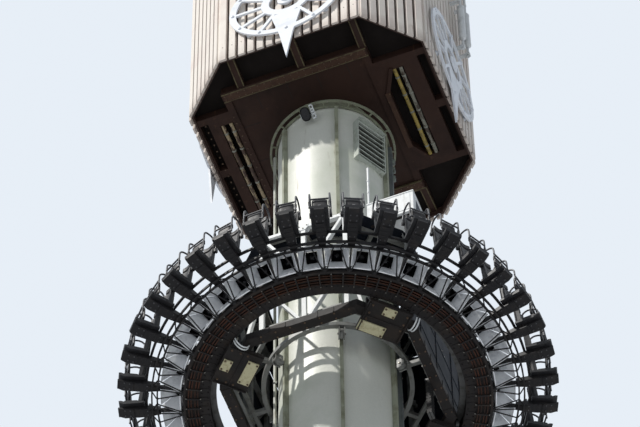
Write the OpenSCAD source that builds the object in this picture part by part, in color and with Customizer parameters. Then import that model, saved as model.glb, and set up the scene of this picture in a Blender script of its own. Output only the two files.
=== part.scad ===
// Drop tower ride, a scale model at 1:10. One millimetre here is ten on the real ride.
// The origin is the centre of the underside of the base flange, +Z is up, and -Y is the
// face of the machine house that stands nearest to the viewer.

/* [Column] */
// Radius of the steel tube of the column
col_r = 155; // [150:1:158]
// Wall of the column tube
col_wall = 5; // [3:0.5:12]
// Height of the top of the column, under the neck of the machine house
col_top = 10858; // [10850:1:10864]
// Radius of the neck between the column and the machine house
neck_r = 122; // [112:1:130]
// Number of tube sections in the column
col_sections = 5; // [5:1:5]
// Radial height of a guide rail on the column
rail_h = 13; // [10:0.5:15]
// Width of a guide rail
rail_w = 9; // [6:1:12]
// Azimuth of the first guide rail
rail_az = 23.5; // [22:0.5:26]

/* [Base] */
// Radius of the base flange
base_r = 290; // [275:5:340]
// Thickness of the base flange
base_t = 18; // [12:1:30]
// Radius of the circle of anchor holes
anchor_r = 250; // [235:1:255]
// Radius of an anchor hole
anchor_hole_r = 7; // [4:0.5:9]
// Number of anchor holes
anchors = 24; // [12:6:24]
// Height of a base gusset
gusset_h = 110; // [60:5:150]
// Thickness of a base gusset
gusset_t = 8; // [4:1:12]

/* [Column fittings] */
// Radius of the service pipe
pipe_r = 4; // [3:0.5:5]
// Azimuth of the service pipe
pipe_az = -70; // [-80:1:-60]
// Height from one pipe clamp to the next
clamp_step = 220; // [150:10:400]
// Width of the cable duct
duct_w = 28; // [20:1:36]
// Depth of the cable duct at its middle
duct_d = 12; // [8:0.5:14]
// Azimuth of the cable duct
duct_az = 104; // [98:1:112]
// Outer radius of the two rims at the head
rim_r = 178; // [172:1:185]
// Azimuth of the louvre hatch
hatch_az = 60; // [59:1:61]
// Width of the louvre hatch
hatch_w = 96; // [80:2:98]
// Height of the louvre hatch
hatch_h = 190; // [180:5:210]
// Depth of the louvre hatch at its middle
hatch_d = 12; // [11:0.5:14]
// Height of the lower edge of the louvre hatch
hatch_z = 10590; // [10560:5:10600]
// Number of slats in the louvre hatch
slats = 7; // [4:1:8]

/* [Machine house] */
// Height of the lower edge of the cladding
clad_z = 10937; // [10930:1:10945]
// Height of the cladding
clad_h = 950; // [900:10:1000]
// Distance from the axis to the outside of a long face
house_w = 351; // [345:1:360]
// Half the length of a long face
face_half = 210; // [205:1:215]
// Depth of the cladding boards and their backing
clad_depth = 8; // [6:0.5:10]
// Thickness of the backing of the cladding
clad_t = 3; // [2:0.5:4]
// Width of one board and one groove of the cladding
clad_pitch = 28; // [20:1:40]
// Share of the pitch that the groove takes
clad_groove = 0.3; // [0.2:0.05:0.5]
// Distance from the axis to the front and back edges of the soffit platform
plat_half = 247; // [240:1:252]
// Distance from the axis to the left edge of the platform
plat_left = 244; // [243:1:246]
// Distance from the axis to the right edge of the platform
plat_right = 190; // [180:1:200]
// Half the length of the wings on the left and the right of the platform
wing_half = 188; // [184:1:194]
// Distance from the axis to the inner side of a wing's girder
girder_in = 284; // [282:1:288]
// Width of a wing's girder
girder_w = 30; // [24:1:34]
// Half the length of the slots that the tubes lie in
slot_half = 150; // [140:1:160]
// Depth of the beams round the platform
plat_beam = 30; // [24:1:40]
// Width of the beams of the platform
stub_w = 20; // [12:1:22]
// Distance between the stub beams of one side
stub_step = 182; // [160:2:184]
// Height of the underside of the platform above the lower edge of the cladding
plat_lift = 4; // [1:1:10]
// Radius of the tubes under the wings
tube_r = 5.5; // [4:0.5:6]
// Thickness of the soffit, floor and roof plates
plate_t = 8; // [5:1:12]
// Height of the top of the antenna masts
mast_top = 12060; // [12000:10:12100]
// Height of the foot of the first antenna mast
mast_foot = 11292; // [11285:1:11310]
// Distance from the cladding to a mast
mast_off = 38; // [36:1:44]
// Length of an antenna
antenna_h = 170; // [120:10:200]
// Distance between the two brackets of a mast
mast_span = 270; // [240:10:300]

/* [Ornaments] */
// Outer radius of the ring of a wall ornament
orn_r = 172; // [165:1:180]
// Height of the centre of the ring
orn_z = 11130; // [11120:5:11200]
// Thickness of the ornament plate
orn_t = 6; // [4:0.5:8]
// Distance of the plate from the cladding
orn_off = 14; // [10:1:20]
// Depth of the pendant's tip below the cladding
orn_drop = 130; // [100:5:140]

/* [Ring] */
// Height of the underside of the ring beam at rest
ring_z = 9620; // [9600:5:9640]
// Outer radius of the ring beam
ring_ro = 390; // [388:1:391]
// Inner radius of the ring beam
ring_ri = 331; // [329:1:336]
// Height of the ring beam
ring_h = 40; // [38:1:42]
// Outer radius of the flange round the foot of the ring beam
flange_r = 401; // [398:0.5:402]
// Depth of the lip under the edge of that flange
lip_h = 6; // [3:0.5:8]
// Height of the inner rail above the underside of the ring
inner_rail_z = 30; // [29:0.5:31]
// Width of the inner rail
inner_rail_w = 16; // [12:0.5:18]
// Number of seats
seats = 40; // [40:1:40]
// Azimuth of the first seat
seat_az = -2.3; // [-4.4:0.1:4.4]
// Radius of the outer hoop that the struts hold
hoop_r = 475; // [474:1:480]
// Width of the outer hoop
hoop_w = 18; // [12:1:20]
// Height of the outer hoop
hoop_h = 9; // [7:1:15]
// Thickness of a strut
strut_w = 3.5; // [3:0.5:5]
// Angle from a strut's node to its end on the hoop
strut_turn = 3.4; // [3:0.1:3.6]

/* [Lamp hoods] */
// Radius of the centre of the square opening at the back of a hood
hood_r = 410; // [409:0.5:411]
// Height of that centre above the underside of the ring
hood_z = 54; // [53:0.5:57]
// Width of the square opening
hole_w = 31; // [26:1:33]
// Width of the mouth of a hood
mouth_w = 57; // [50:0.5:57]
// Depth of a hood
hood_d = 44; // [34:1:45]
// Angle that a hood looks down
hood_tilt = 58; // [56:1:60]
// Thickness of the sheet of a hood
hood_t = 1.5; // [1:0.5:2]
// Height of the white hoop above the underside of the ring
crown_z = 72; // [70:1:84]

/* [Seats] */
// Distance from the middle of the outer hoop to the face of the backrests
seat_off = 37; // [36:1:40]
// Width of a seat
seat_w = 46; // [44:1:50]
// Depth of the seat pan
pan_d = 58; // [54:1:62]
// Thickness of the seat pan
pan_t = 8; // [6:0.5:10]
// Height of the backrest above the pan
back_h = 88; // [80:1:95]
// Depth of the side cheeks of the backrest
cheek_d = 12; // [8:1:12]
// Length of a seat arm past the middle of the outer hoop
arm_len = 97; // [90:1:116]
// Width of a seat arm
arm_w = 26; // [18:1:30]
// Thickness of the fin that carries an arm between the hoods
fin_w = 2.4; // [1.5:0.1:2.5]
// Depth of a seat arm
arm_h = 16; // [14:1:20]
// Distance from the face of the backrest to the back of the chest pad
pad_off = 28; // [27:1:31]
// Width and thickness of the harness bars
bar_w = 5; // [4:0.5:6]

/* [Carriage] */
// Half the width of the carriage frame
frame_half = 270; // [264:1:272]
// Distance from the axis to the cut corners of the carriage frame
frame_cut = 298; // [296:1:299]
// Width and depth of the beams of the carriage frame
frame_beam = 26; // [24:1:30]
// Half the width of the white guide truss
truss_half = 250; // [248:1:252]
// Distance between the uprights of the truss
truss_bay = 117; // [112:1:120]
// Thickness of the bars of the truss
truss_bar = 12; // [10:1:13]
// Height of the white guide truss
truss_h = 470; // [440:5:500]
// Radius of a guide roller
roller_r = 14; // [11:0.5:14.5]
// Width of a guide roller
roller_w = 8; // [6:0.5:9]
// Inner radius of the roller collars
collar_in = 187; // [185:0.5:190]
// Radius of the inner end of a corner bracket
bracket_in = 235; // [225:1:245]
// Radius of the outer side of a bracket's curved web
web_r = 312; // [311:0.5:312]
// Radius of the outer end of a corner bracket
bracket_out = 332; // [326:1:336]
// Width of a corner bracket
bracket_w = 120; // [100:2:130]
// Thickness of a corner bracket
bracket_t = 12; // [8:1:14]
// Length of the cabinet on the truss
cabinet_l = 130; // [120:1:136]
// Depth of the cabinet
cabinet_d = 92; // [80:1:96]
// Height of the cabinet
cabinet_h = 97; // [90:1:110]
// Height of the rod on the cabinet
rod_h = 193; // [150:1:200]
// Number of links in the cable chain
links = 10; // [6:1:10]

/* [Hidden] */
// Running gap between a roller and the rail that it rolls on
gap = 0.3;
// Thickness of the curved web of a corner bracket
web_t = 6;
// Width of each of the two rings of the outer hoop
hoop_bar = 4;
// Gap between a strut's square end and what it is welded to
strut_end = 1.2;
// Thickness and width of the frame round the opening of a hood
frame_t = 3;
rim_in = 3.5;
// Distance of the cabinet's inner end from the axis
house_clear = 161;
// Angle that a backrest leans back
back_lean = 5;
// Facets of round parts
round_fn = 96;
small_fn = 24;
house_inner = house_w - clad_depth;
soffit_z = clad_z + plat_lift;
floor_z = soffit_z + plat_beam;
roof_z = clad_z + clad_h - 40;
rail_r = col_r + rail_h;
section_h = (col_top - base_t) / col_sections;
rim_h = 6;
rim_gap = 16;
rim_z = col_top - rim_gap - rim_h;
slot_w = 40;
bay_half = 12;
seat_step = 360 / seats;
hoop_in = hoop_r - hoop_w / 2;
hoop_z = ring_z + 4;
arm_z = hoop_z + hoop_h + gap;
seat_z = arm_z + arm_h;
seat_r = hoop_r + seat_off;
arm_in = hood_r + 51;
deck_z = ring_z + frame_beam / 2;
truss_z = deck_z + truss_h;

// Turns a piece made along +X to an azimuth that runs from the front, -Y, towards +X
module at_az(az) rotate([0, 0, az - 90]) children();

// A ring round the axis with a rectangular section
module band(r_in, r_out, z, h) {
    translate([0, 0, z])
        difference() {
            cylinder(r = r_out, h = h, $fn = round_fn);
            translate([0, 0, -1]) cylinder(r = r_in, h = h + 2, $fn = round_fn);
        }
}

// The plan of the machine house, with its long faces at a given distance
module house_plan(w) {
    half = face_half - (house_w - w) * tan(22.5);
    polygon([
        [-half, -w], [half, -w], [w, -half], [w, half],
        [half, w], [-half, w], [-w, half], [-w, -half]
    ]);
}

// A square bar between two points
module bar(a, b, width) {
    d = b - a;
    len = norm(d);
    translate(a)
        rotate([0, acos(d[2] / len), atan2(d[1], d[0])])
            translate([-width / 2, -width / 2, 0]) cube([width, width, len]);
}

// A profile drawn in the plane of the radius and the height, a width across
module upright(width) {
    translate([0, width / 2, 0]) rotate([90, 0, 0]) linear_extrude(width) children();
}

module base_flange() {
    color("gainsboro")
        difference() {
            cylinder(r = base_r, h = base_t, $fn = round_fn);
            for (i = [0:anchors - 1])
                at_az(rail_az + i * 360 / anchors)
                    translate([anchor_r, 0, -1])
                        cylinder(r = anchor_hole_r, h = base_t + 2, $fn = small_fn);
        }
}

// The gussets stand halfway between the anchor holes, clear of the guide rails
module base_gussets() {
    foot = anchor_r + anchor_hole_r - col_r;
    color("gainsboro")
        for (i = [0:anchors - 1])
            at_az(rail_az + (i + 0.5) * 360 / anchors)
                translate([col_r, 0, base_t])
                    upright(gusset_t)
                        polygon([[0, 0], [foot, 0], [foot, 12], [16, gusset_h], [0, gusset_h]]);
}

module column_section(i) {
    color("whitesmoke") band(col_r - col_wall, col_r, base_t + i * section_h, section_h);
}

module guide_rails() {
    color("whitesmoke")
        for (k = [0:5])
            at_az(rail_az + 60 * k)
                translate([col_r, -rail_w / 2, base_t])
                    cube([rail_h, rail_w, rim_z - base_t]);
}

// A pipe up the left of the column, on clamps at equal steps
module service_pipe() {
    steps = floor((rim_z - base_t - gusset_h) / clamp_step);
    color("gainsboro")
        at_az(pipe_az) {
            translate([col_r + pipe_r + 5, 0, base_t + gusset_h])
                cylinder(r = pipe_r, h = rim_z - base_t - gusset_h, $fn = small_fn);
            for (i = [0:steps - 1])
                translate([col_r, -7, base_t + gusset_h + (i + 0.5) * clamp_step])
                    cube([pipe_r + 5, 14, 8]);
        }
}

// A shallow cable duct up the right of the column, with round lamps near its head
module cable_duct() {
    color("dimgray")
        at_az(duct_az) {
            translate([col_r, -duct_w / 2, base_t + gusset_h])
                cube([duct_d, duct_w, rim_z - base_t - gusset_h]);
            for (i = [0:2])
                translate([col_r + duct_d, 0, rim_z - 60 - 45 * i])
                    rotate([0, 90, 0]) cylinder(r = 8, h = 3, $fn = small_fn);
        }
}

// Two thin rims on radial ties, and the neck that carries the machine house
module head_flange() {
    inner_r = col_r + 8;
    ties = 15;
    color("darkseagreen") {
        band(inner_r - 5, inner_r, rim_z + 8, rim_h);
        band(rim_r - 6, rim_r, rim_z + 14, rim_h);
        for (i = [0:ties - 1])
            at_az(rail_az + (i + 0.5) * 360 / ties)
                translate([col_r, -2, rim_z + 12]) cube([rim_r - col_r - 3, 4, 4]);
        band(neck_r - col_wall, col_r, col_top, rim_h);
        band(neck_r - col_wall, neck_r, col_top + rim_h - 1, floor_z - col_top - rim_h + 1);
    }
}

// A ventilation hatch, a shallow frame with slats that stand out from it
module louvre_hatch() {
    slat_step = (hatch_h - 22) / slats;
    plate_d = 4;
    color("whitesmoke")
        at_az(hatch_az)
            difference() {
                union() {
                    translate([col_r - 12, -hatch_w / 2, hatch_z]) cube([12 + plate_d, hatch_w, hatch_h]);
                    for (y = [-hatch_w / 2, hatch_w / 2 - 4])
                        translate([col_r - 12, y, hatch_z + 4]) cube([12 + hatch_d, 4, hatch_h - 4]);
                    for (i = [0:slats - 1])
                        translate([col_r + plate_d - 2, -hatch_w / 2 + 3, hatch_z + 8 + slat_step * i])
                            rotate([0, 60, 0]) cube([3, hatch_w - 6, 8]);
                    translate([col_r - 12, -hatch_w / 2, hatch_z + hatch_h - 8])
                        cube([18 + hatch_d, hatch_w, 8]);
                }
                translate([0, 0, hatch_z - 1]) cylinder(r = col_r, h = hatch_h + 2, $fn = round_fn);
            }
}

// A floodlight on a yoke, turned down towards the ring
module floodlight() {
    lamp_z = rim_z - 46;
    lamp_r = col_r + 31;
    color("black")
        at_az(rail_az - 30)
            difference() {
                union() {
                    for (y = [-19, 15]) translate([col_r - 2, y, lamp_z - 10]) cube([30, 4, 28]);
                    translate([lamp_r, 0, lamp_z])
                        rotate([0, 140, 0])
                            translate([0, 0, -16])
                                linear_extrude(16) {
                                    for (x = [-8, 8]) translate([x, 0]) circle(r = 12, $fn = small_fn);
                                    translate([-8, -12]) square([16, 24]);
                                    translate([-4, -16]) square([8, 32]);
                                }
                }
                cylinder(r = col_r, h = lamp_z + 40, $fn = round_fn);
            }
}

// A flat bar between two points of a plan
module plan_bar(a, b, width) {
    d = b - a;
    translate(a) rotate(atan2(d[1], d[0])) translate([0, -width / 2]) square([norm(d), width]);
}

// The plan of the platform and its wings, with the slots of the tubes and the outer bays
module soffit_plan() {
    slot_out = girder_in - 16;
    difference() {
        union() {
            translate([-plat_left, -plat_half]) square([plat_left + plat_right, 2 * plat_half]);
            translate([-house_inner, -wing_half]) square([2 * house_inner, 2 * wing_half]);
        }
        translate([-plat_left + stub_w, -plat_half + stub_w])
            square([plat_left + plat_right - 2 * stub_w, 2 * (plat_half - stub_w)]);
        translate([-girder_in, -slot_half]) square([slot_w, 2 * slot_half]);
        polygon([
            [slot_out, -slot_half], [slot_out, slot_half], [slot_out - 32, slot_half],
            [plat_right + 14, 105], [plat_right + 14, -85], [slot_out - 32, -slot_half]
        ]);
        for (side = [-1, 1])
            for (end = [0, 1])
                mirror([0, end])
                    translate([side * (girder_in + girder_w + bay_half) - bay_half, bay_half])
                        square([2 * bay_half, wing_half - 3 * bay_half + 4]);
    }
}

// The frame under the machine house, with stub beams out to the cladding that rise outwards
module soffit_frame() {
    color("saddlebrown") {
        translate([0, 0, soffit_z]) linear_extrude(plat_beam) soffit_plan();
        translate([0, 0, soffit_z - 5])
            linear_extrude(6) {
                plan_bar([plat_right + 7, -85], [plat_right + 7, 105], 11);
                plan_bar([plat_right + 7, 100], [girder_in - 50, slot_half + 6], 11);
                plan_bar([plat_right + 7, -80], [girder_in - 50, -slot_half - 6], 11);
                for (end = [-1, 1])
                    translate([-plat_left, end * (plat_half - stub_w / 2) - 13])
                        square([plat_left + plat_right, 26]);
            }
        for (side = [0, 180])
            for (k = [-1:1])
                rotate([0, 0, side])
                    translate([k * stub_step, 0, soffit_z])
                        rotate([0, 0, -90])
                            upright(stub_w)
                                polygon([
                                    [plat_half - 1, 0], [house_inner, 16],
                                    [house_inner, plat_beam], [plat_half - 1, plat_beam]
                                ]);
    }
}

module soffit_plate() {
    color("saddlebrown")
        translate([0, 0, soffit_z + 5])
            linear_extrude(plate_t)
                difference() {
                    translate([-plat_left + stub_w, -plat_half + stub_w])
                        square([plat_left + plat_right - 2 * stub_w, 2 * (plat_half - stub_w)]);
                    circle(r = neck_r, $fn = round_fn);
                }
}

// Tubes in the slots of the left and the right wing
module tube_runs() {
    color("khaki")
        for (x = [-girder_in + tube_r + 2, -girder_in + slot_w - tube_r - 3,
                  girder_in - 16 - tube_r - 3, girder_in - 16 - slot_w + tube_r + 7])
            translate([x, -slot_half, soffit_z + 4])
                rotate([-90, 0, 0]) cylinder(r = tube_r, h = 2 * slot_half, $fn = small_fn);
}

module machine_floor() {
    color("dimgray") translate([0, 0, floor_z]) linear_extrude(plate_t) house_plan(house_inner);
}

// One face of cladding, boards that stand proud of a thin backing, with mitred ends
module clad_face(half, dist) {
    n = round(2 * half / clad_pitch);
    step = 2 * half / n;
    groove = step * clad_groove;
    inner_half = half - clad_depth * tan(22.5);
    rib_points = [
        for (i = [0:n - 1])
            let (x = -half + i * step)
            each [
                [x + groove / 2, -dist], [x + step - groove / 2, -dist],
                [x + step - groove / 2 + 1, -dist + clad_depth - clad_t],
                [x + step + groove / 2 - 1, -dist + clad_depth - clad_t]
            ]
    ];
    wall = [for (i = [0:4 * n - 3]) rib_points[i]];
    translate([0, 0, clad_z])
        linear_extrude(clad_h)
            polygon(concat(
                [[-inner_half, -dist + clad_depth], [-half, -dist]],
                wall,
                [[half, -dist], [inner_half, -dist + clad_depth]]
            ));
}

module long_face(side) color("linen") rotate([0, 0, 90 * side]) clad_face(face_half, house_w);

module corner_cladding() {
    half = (house_w - face_half) / sqrt(2);
    color("linen")
        for (k = [0:3])
            rotate([0, 0, 45 + 90 * k]) clad_face(half, (house_w + face_half) / sqrt(2));
}

module roof_deck() {
    color("gray") translate([0, 0, roof_z]) linear_extrude(plate_t) house_plan(house_inner);
}

// An openwork wall ornament: two rings, spokes, lozenges and a pointed pendant
module ornament(side) {
    color("white")
        rotate([0, 0, 90 * side])
            translate([0, -house_w, orn_z]) {
                rotate([90, 0, 0]) {
                    translate([0, 0, orn_off])
                        linear_extrude(orn_t) {
                            difference() {
                                circle(r = orn_r, $fn = round_fn);
                                circle(r = orn_r - 20, $fn = round_fn);
                            }
                            difference() {
                                circle(r = orn_r * 0.44, $fn = round_fn);
                                circle(r = orn_r * 0.30, $fn = round_fn);
                            }
                            for (k = [0:11])
                                rotate(30 * k)
                                    translate([orn_r * 0.40, -5]) square([orn_r * 0.52, 10]);
                            polygon([
                                [-46, -orn_r * 0.42], [46, -orn_r * 0.42],
                                [20, -orn_r - 20], [0, clad_z - orn_z - orn_drop], [-20, -orn_r - 20]
                            ]);
                        }
                    for (k = [0:3])
                        rotate(45 + 90 * k)
                            translate([orn_r - 10, 0, 0]) cylinder(r = 5, h = orn_off + 1, $fn = small_fn);
                }
            }
}

// Two poles with round antennas, on brackets of the right face
module antenna_masts() {
    color("gainsboro")
        for (k = [0, 1])
            translate([house_w + mast_off, 52 + 44 * k, mast_foot + 24 * k]) {
                cylinder(r = 4, h = mast_top - mast_foot - 180 * k, $fn = small_fn);
                translate([0, 0, 70]) cylinder(r = 11, h = antenna_h, $fn = small_fn);
                for (z = [10, 10 + mast_span])
                    translate([-mast_off, -5, z]) cube([mast_off, 10, 8]);
            }
}

// The plan of the carriage frame, a square with cut corners
module frame_plan(half, cut) {
    intersection() {
        square(2 * half, center = true);
        rotate(45) square(2 * cut, center = true);
    }
}

module carriage_frame() {
    color("darkslategray")
        translate([0, 0, deck_z - frame_beam])
            linear_extrude(frame_beam)
                difference() {
                    frame_plan(frame_half, frame_cut);
                    frame_plan(frame_half - frame_beam, frame_cut - frame_beam);
                }
}

// Brackets under the corners of the frame, with a curved web that carries the ring's rollers
module corner_brackets() {
    web_z = deck_z - frame_beam - bracket_t;
    color("darkslategray")
        for (k = [0:3])
            at_az(45 + 90 * k) {
                translate([bracket_in, -bracket_w / 2, web_z])
                    cube([bracket_out - bracket_in, bracket_w, bracket_t]);
                intersection() {
                    band(web_r - web_t, web_r, web_z, frame_beam + bracket_t + 12);
                    translate([bracket_in, -bracket_w / 2, web_z])
                        cube([bracket_w, bracket_w, 100]);
                }
            }
}

module corner_plates() {
    plate_z = deck_z - frame_beam - bracket_t - 4;
    color("darkkhaki")
        for (k = [0:3])
            at_az(45 + 90 * k) {
                translate([bracket_in + 4, k == 0 ? -60 : -36, plate_z]) cube([30, 72, 4]);
                translate([bracket_out - 28, -17, plate_z]) cube([24, 34, 4]);
            }
}

// One flat lattice side of the guide truss, with legs that spread to the corners of the frame
module truss_side() {
    rows = 2;
    row_h = (truss_h - truss_bar) / rows;
    leg = frame_cut * sqrt(2) - truss_half - truss_bar;
    color("white")
        translate([0, -(truss_half - truss_bar), deck_z])
            rotate([90, 0, 0])
                linear_extrude(truss_bar) {
                    for (side = [0, 1])
                        mirror([side, 0])
                            for (row = [0:rows - 1])
                                translate([0, row * row_h]) {
                                    difference() {
                                        square([truss_bay + truss_bar / 2, row_h + truss_bar]);
                                        translate([truss_bar / 2, truss_bar])
                                            square([truss_bay - truss_bar, row_h - truss_bar]);
                                    }
                                    intersection() {
                                        square([truss_bay, row_h + truss_bar]);
                                        slant(truss_bay, row_h + truss_bar);
                                    }
                                }
                    for (side = [0, 1])
                        mirror([side, 0])
                            intersection() {
                                translate([truss_bay, 0]) square([leg, row_h + truss_bar]);
                                translate([leg, 0]) mirror([1, 0]) slant(leg - truss_bay, row_h);
                            }
                    translate([-leg, 0]) square([2 * leg, truss_bar]);
                }
}

// A diagonal bar across a rectangle, rising to the right
module slant(w, h)
    rotate(atan2(h, w)) translate([0, -truss_bar / 3]) square([norm([w, h]), truss_bar / 1.5]);

module truss_turned(side) rotate([0, 0, 90 * side]) truss_side();

// Collars inside the truss carry a roller in a fork at every guide rail
module guide_rollers() {
    axle_r = rail_r + gap + roller_r;
    reach = truss_half - truss_bar;
    color("dimgray")
        for (z = [deck_z + 44, truss_z - 14]) {
            band(collar_in, collar_in + 12, z, 14);
            translate([0, 0, z])
                linear_extrude(14)
                    difference() {
                        frame_plan(reach, reach);
                        frame_plan(reach - 10, reach - 10);
                    }
            for (k = [0:7])
                rotate([0, 0, 45 * k])
                    translate([collar_in + 6, -5, z]) cube([reach - collar_in - 8, 10, 14]);
            for (k = [0:5])
                at_az(rail_az + 60 * k) {
                    for (side = [-1, 1])
                        translate([rail_r + 6, side * 7 - 1.5, z - 34]) cube([22, 3, 36]);
                    translate([axle_r, -8, z - 18])
                        rotate([-90, 0, 0]) cylinder(r = 3, h = 16, $fn = small_fn);
                    translate([axle_r, -roller_w / 2, z - 18])
                        rotate([-90, 0, 0]) cylinder(r = roller_r, h = roller_w, $fn = 48);
                }
        }
}

// Rollers on the corner brackets run under the inner rail of the ring
module ring_rollers() {
    roll_z = ring_z + inner_rail_z - gap - roller_r;
    color("dimgray")
        for (k = [0:3])
            for (side = [-1, 1])
                at_az(45 + 90 * k + side * 8)
                    translate([web_r, 0, roll_z])
                        rotate([0, 90, 0]) {
                            translate([0, 0, 4]) cylinder(r = roller_r, h = roller_w, $fn = 48);
                            cylinder(r = 5, h = 5, $fn = small_fn);
                        }
}

// A cable chain that hangs inside the right beam of the frame
module cable_chain() {
    pitch = 15;
    color("black")
        translate([frame_half - frame_beam - 14, 24, deck_z - pitch * links - 2])
            for (i = [0:links - 1])
                translate([0, 0, pitch * i]) {
                    cube([14, 26, pitch - 3]);
                    translate([3, 3, pitch - 4]) cube([8, 20, 5]);
                }
}

// A white cabinet with a rod, on the front right corner of the truss
module drive_housing() {
    color("white") {
        translate([house_clear, -house_clear - 31, truss_z]) cube([cabinet_l, cabinet_d, cabinet_h]);
        translate([house_clear + 4, -house_clear - 26, truss_z + cabinet_h - 1])
            cylinder(r = 3, h = rod_h, $fn = small_fn);
    }
}

// A box beam with a flange round its foot and a lip under the flange
module ring_beam() {
    color("darkslategray") {
        band(ring_ri, ring_ro, ring_z, ring_h);
        band(ring_ro - 1, flange_r, ring_z, 7);
        band(flange_r - lip_h, flange_r, ring_z - lip_h, lip_h + 1);
    }
}

module conductor_rails() {
    color("chocolate")
        for (r = [ring_ri + 31, ring_ri + 38, ring_ri + 48, ring_ri + 55])
            band(r, r + 3, ring_z - 5, 5);
}

module inner_rail()
    color("slategray") band(ring_ri - inner_rail_w, ring_ri, ring_z + inner_rail_z, ring_h - inner_rail_z);

// The two rings of the hoop that the struts hold, and a rail on the arms behind the seats
module outer_hoop() {
    color("black") {
        band(hoop_in, hoop_in + hoop_bar, hoop_z, hoop_h);
        band(hoop_in + hoop_w - hoop_bar, hoop_in + hoop_w, hoop_z, hoop_h);
        band(seat_r - 18, seat_r - 12, seat_z + gap, 6);
    }
}

// Three struts from a node under each seat arm, two in a vee and one straight
module hoop_struts() {
    node_z = ring_z - 4;
    end_z = hoop_z + hoop_h / 2;
    end_r = hoop_in - strut_end;
    color("black")
        for (i = [0:seats - 1])
            at_az(seat_az + i * seat_step) {
                for (side = [-1, 1])
                    bar(
                        [flange_r + strut_end, 4 * side, node_z],
                        [end_r * cos(strut_turn), side * end_r * sin(strut_turn), end_z - 1],
                        strut_w
                    );
                bar([flange_r + gap, 0, node_z], [hoop_in - gap, 0, end_z - 2], strut_w);
            }
}

// The sheet metal hood of a lamp, made along +X: a frame round a square opening and four
// flared sheets, folded together at two corners and open at the other two
module hood() {
    half_in = hole_w / 2;
    half_out = mouth_w / 2;
    slope = atan((half_out - half_in) / hood_d);
    run = hood_d / cos(slope);
    slit = 3;
    translate([-frame_t, 0, 0])
        rotate([0, 90, 0])
            linear_extrude(frame_t)
                difference() {
                    square(hole_w + 2 * rim_in, center = true);
                    square(hole_w, center = true);
                }
    for (k = [0:3])
        rotate([90 * k, 0, 0])
            mirror([0, k % 2, 0])
                translate([0, 0, half_in])
                    rotate([0, -slope, 0])
                        linear_extrude(hood_t)
                            polygon([
                                [-1, 1 - half_in], [run, slit - half_out],
                                [run, half_out + hood_t / 2], [-1, half_in + hood_t / 2]
                            ]);
}

module crown_boxes() {
    color("white")
        for (i = [0:seats - 1])
            at_az(seat_az + (i + 0.5) * seat_step)
                translate([hood_r, 0, ring_z + hood_z]) rotate([0, hood_tilt, 0]) hood();
}

// A point just behind the back of a hood, at a distance up its slope from the middle
function hood_back(s) = [
    hood_r - (frame_t + gap) * cos(hood_tilt) + s * sin(hood_tilt),
    ring_z + hood_z + (frame_t + gap) * sin(hood_tilt) + s * cos(hood_tilt)
];

// Posts on the ring beam that carry the hoods and the white hoop
module crown_posts() {
    foot_z = ring_z + ring_h;
    reach = hole_w / 2;
    color("white")
        for (i = [0:seats - 1])
            at_az(seat_az + (i + 0.5) * seat_step)
                for (side = [-1, 1])
                    translate([0, side * (reach + rim_in / 2), 0])
                        upright(3)
                            polygon([
                                [ring_ro - 18, foot_z], [ring_ro - 9, foot_z], hood_back(1 - reach - rim_in),
                                hood_back(reach), [ring_ro - 6, ring_z + crown_z],
                                [ring_ro - 18, ring_z + crown_z]
                            ]);
}

module crown_hoop() color("white") band(ring_ro - 18, ring_ro - 6, ring_z + crown_z, 8);

// A fin from the ring beam between two hoods, and the arm that it carries over the hoop
module seat_arms() {
    arm_end = hoop_r + arm_len;
    color("black")
        for (i = [0:seats - 1])
            at_az(seat_az + i * seat_step) {
                upright(fin_w)
                    polygon([
                        [ring_ro + gap, ring_z + 8], [hoop_in - 3, arm_z], [arm_in + 2, arm_z],
                        [arm_in + 2, seat_z], [ring_ro + gap, ring_z + ring_h - 2]
                    ]);
                intersection() {
                    upright(arm_w)
                        polygon([
                            [arm_in, arm_z], [arm_in + 60, arm_z], [arm_end, arm_z + arm_h * 0.6],
                            [arm_end, seat_z], [arm_in, seat_z]
                        ]);
                    translate([0, 0, arm_z])
                        linear_extrude(arm_h)
                            polygon([
                                [arm_in, -8], [arm_in + 40, -arm_w / 2], [arm_end, -arm_w / 2],
                                [arm_end, arm_w / 2], [arm_in + 40, arm_w / 2], [arm_in, 8]
                            ]);
                }
            }
}

// Each seat pan is a shell with a raised lip at the front and a rib along either side
module seat_pans() {
    color("black")
        for (i = [0:seats - 1])
            at_az(seat_az + i * seat_step)
                translate([seat_r - 10, 0, seat_z]) {
                    upright(seat_w)
                        polygon([
                            [0, 0], [pan_d - 4, 0], [pan_d + 8, 7], [pan_d + 10, 15],
                            [pan_d + 4, 16], [pan_d - 8, pan_t + 1], [14, pan_t], [0, pan_t]
                        ]);
                    for (side = [-1, 1])
                        translate([0, side * (seat_w - bar_w) / 2, 0])
                            upright(bar_w)
                                polygon([
                                    [12, pan_t - 1], [pan_d - 2, pan_t - 1],
                                    [pan_d - 6, pan_t + 7], [20, pan_t + 5]
                                ]);
                }
}

// Each backrest is a leaning shell whose face is hollowed between two side cheeks
module seat_backs() {
    hollow_r = 34;
    color("black")
        for (i = [0:seats - 1])
            at_az(seat_az + i * seat_step)
                translate([seat_r - 7, 0, seat_z + pan_t + gap])
                    rotate([0, -back_lean, 0])
                        linear_extrude(back_h)
                            difference() {
                                polygon([
                                    [0, -seat_w / 2 + 5], [5, -seat_w / 2],
                                    [5 + cheek_d, -seat_w / 2], [5 + cheek_d, seat_w / 2],
                                    [5, seat_w / 2], [0, seat_w / 2 - 5]
                                ]);
                                translate([5 + hollow_r, 0]) circle(r = hollow_r, $fn = 64);
                            }
}

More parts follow.
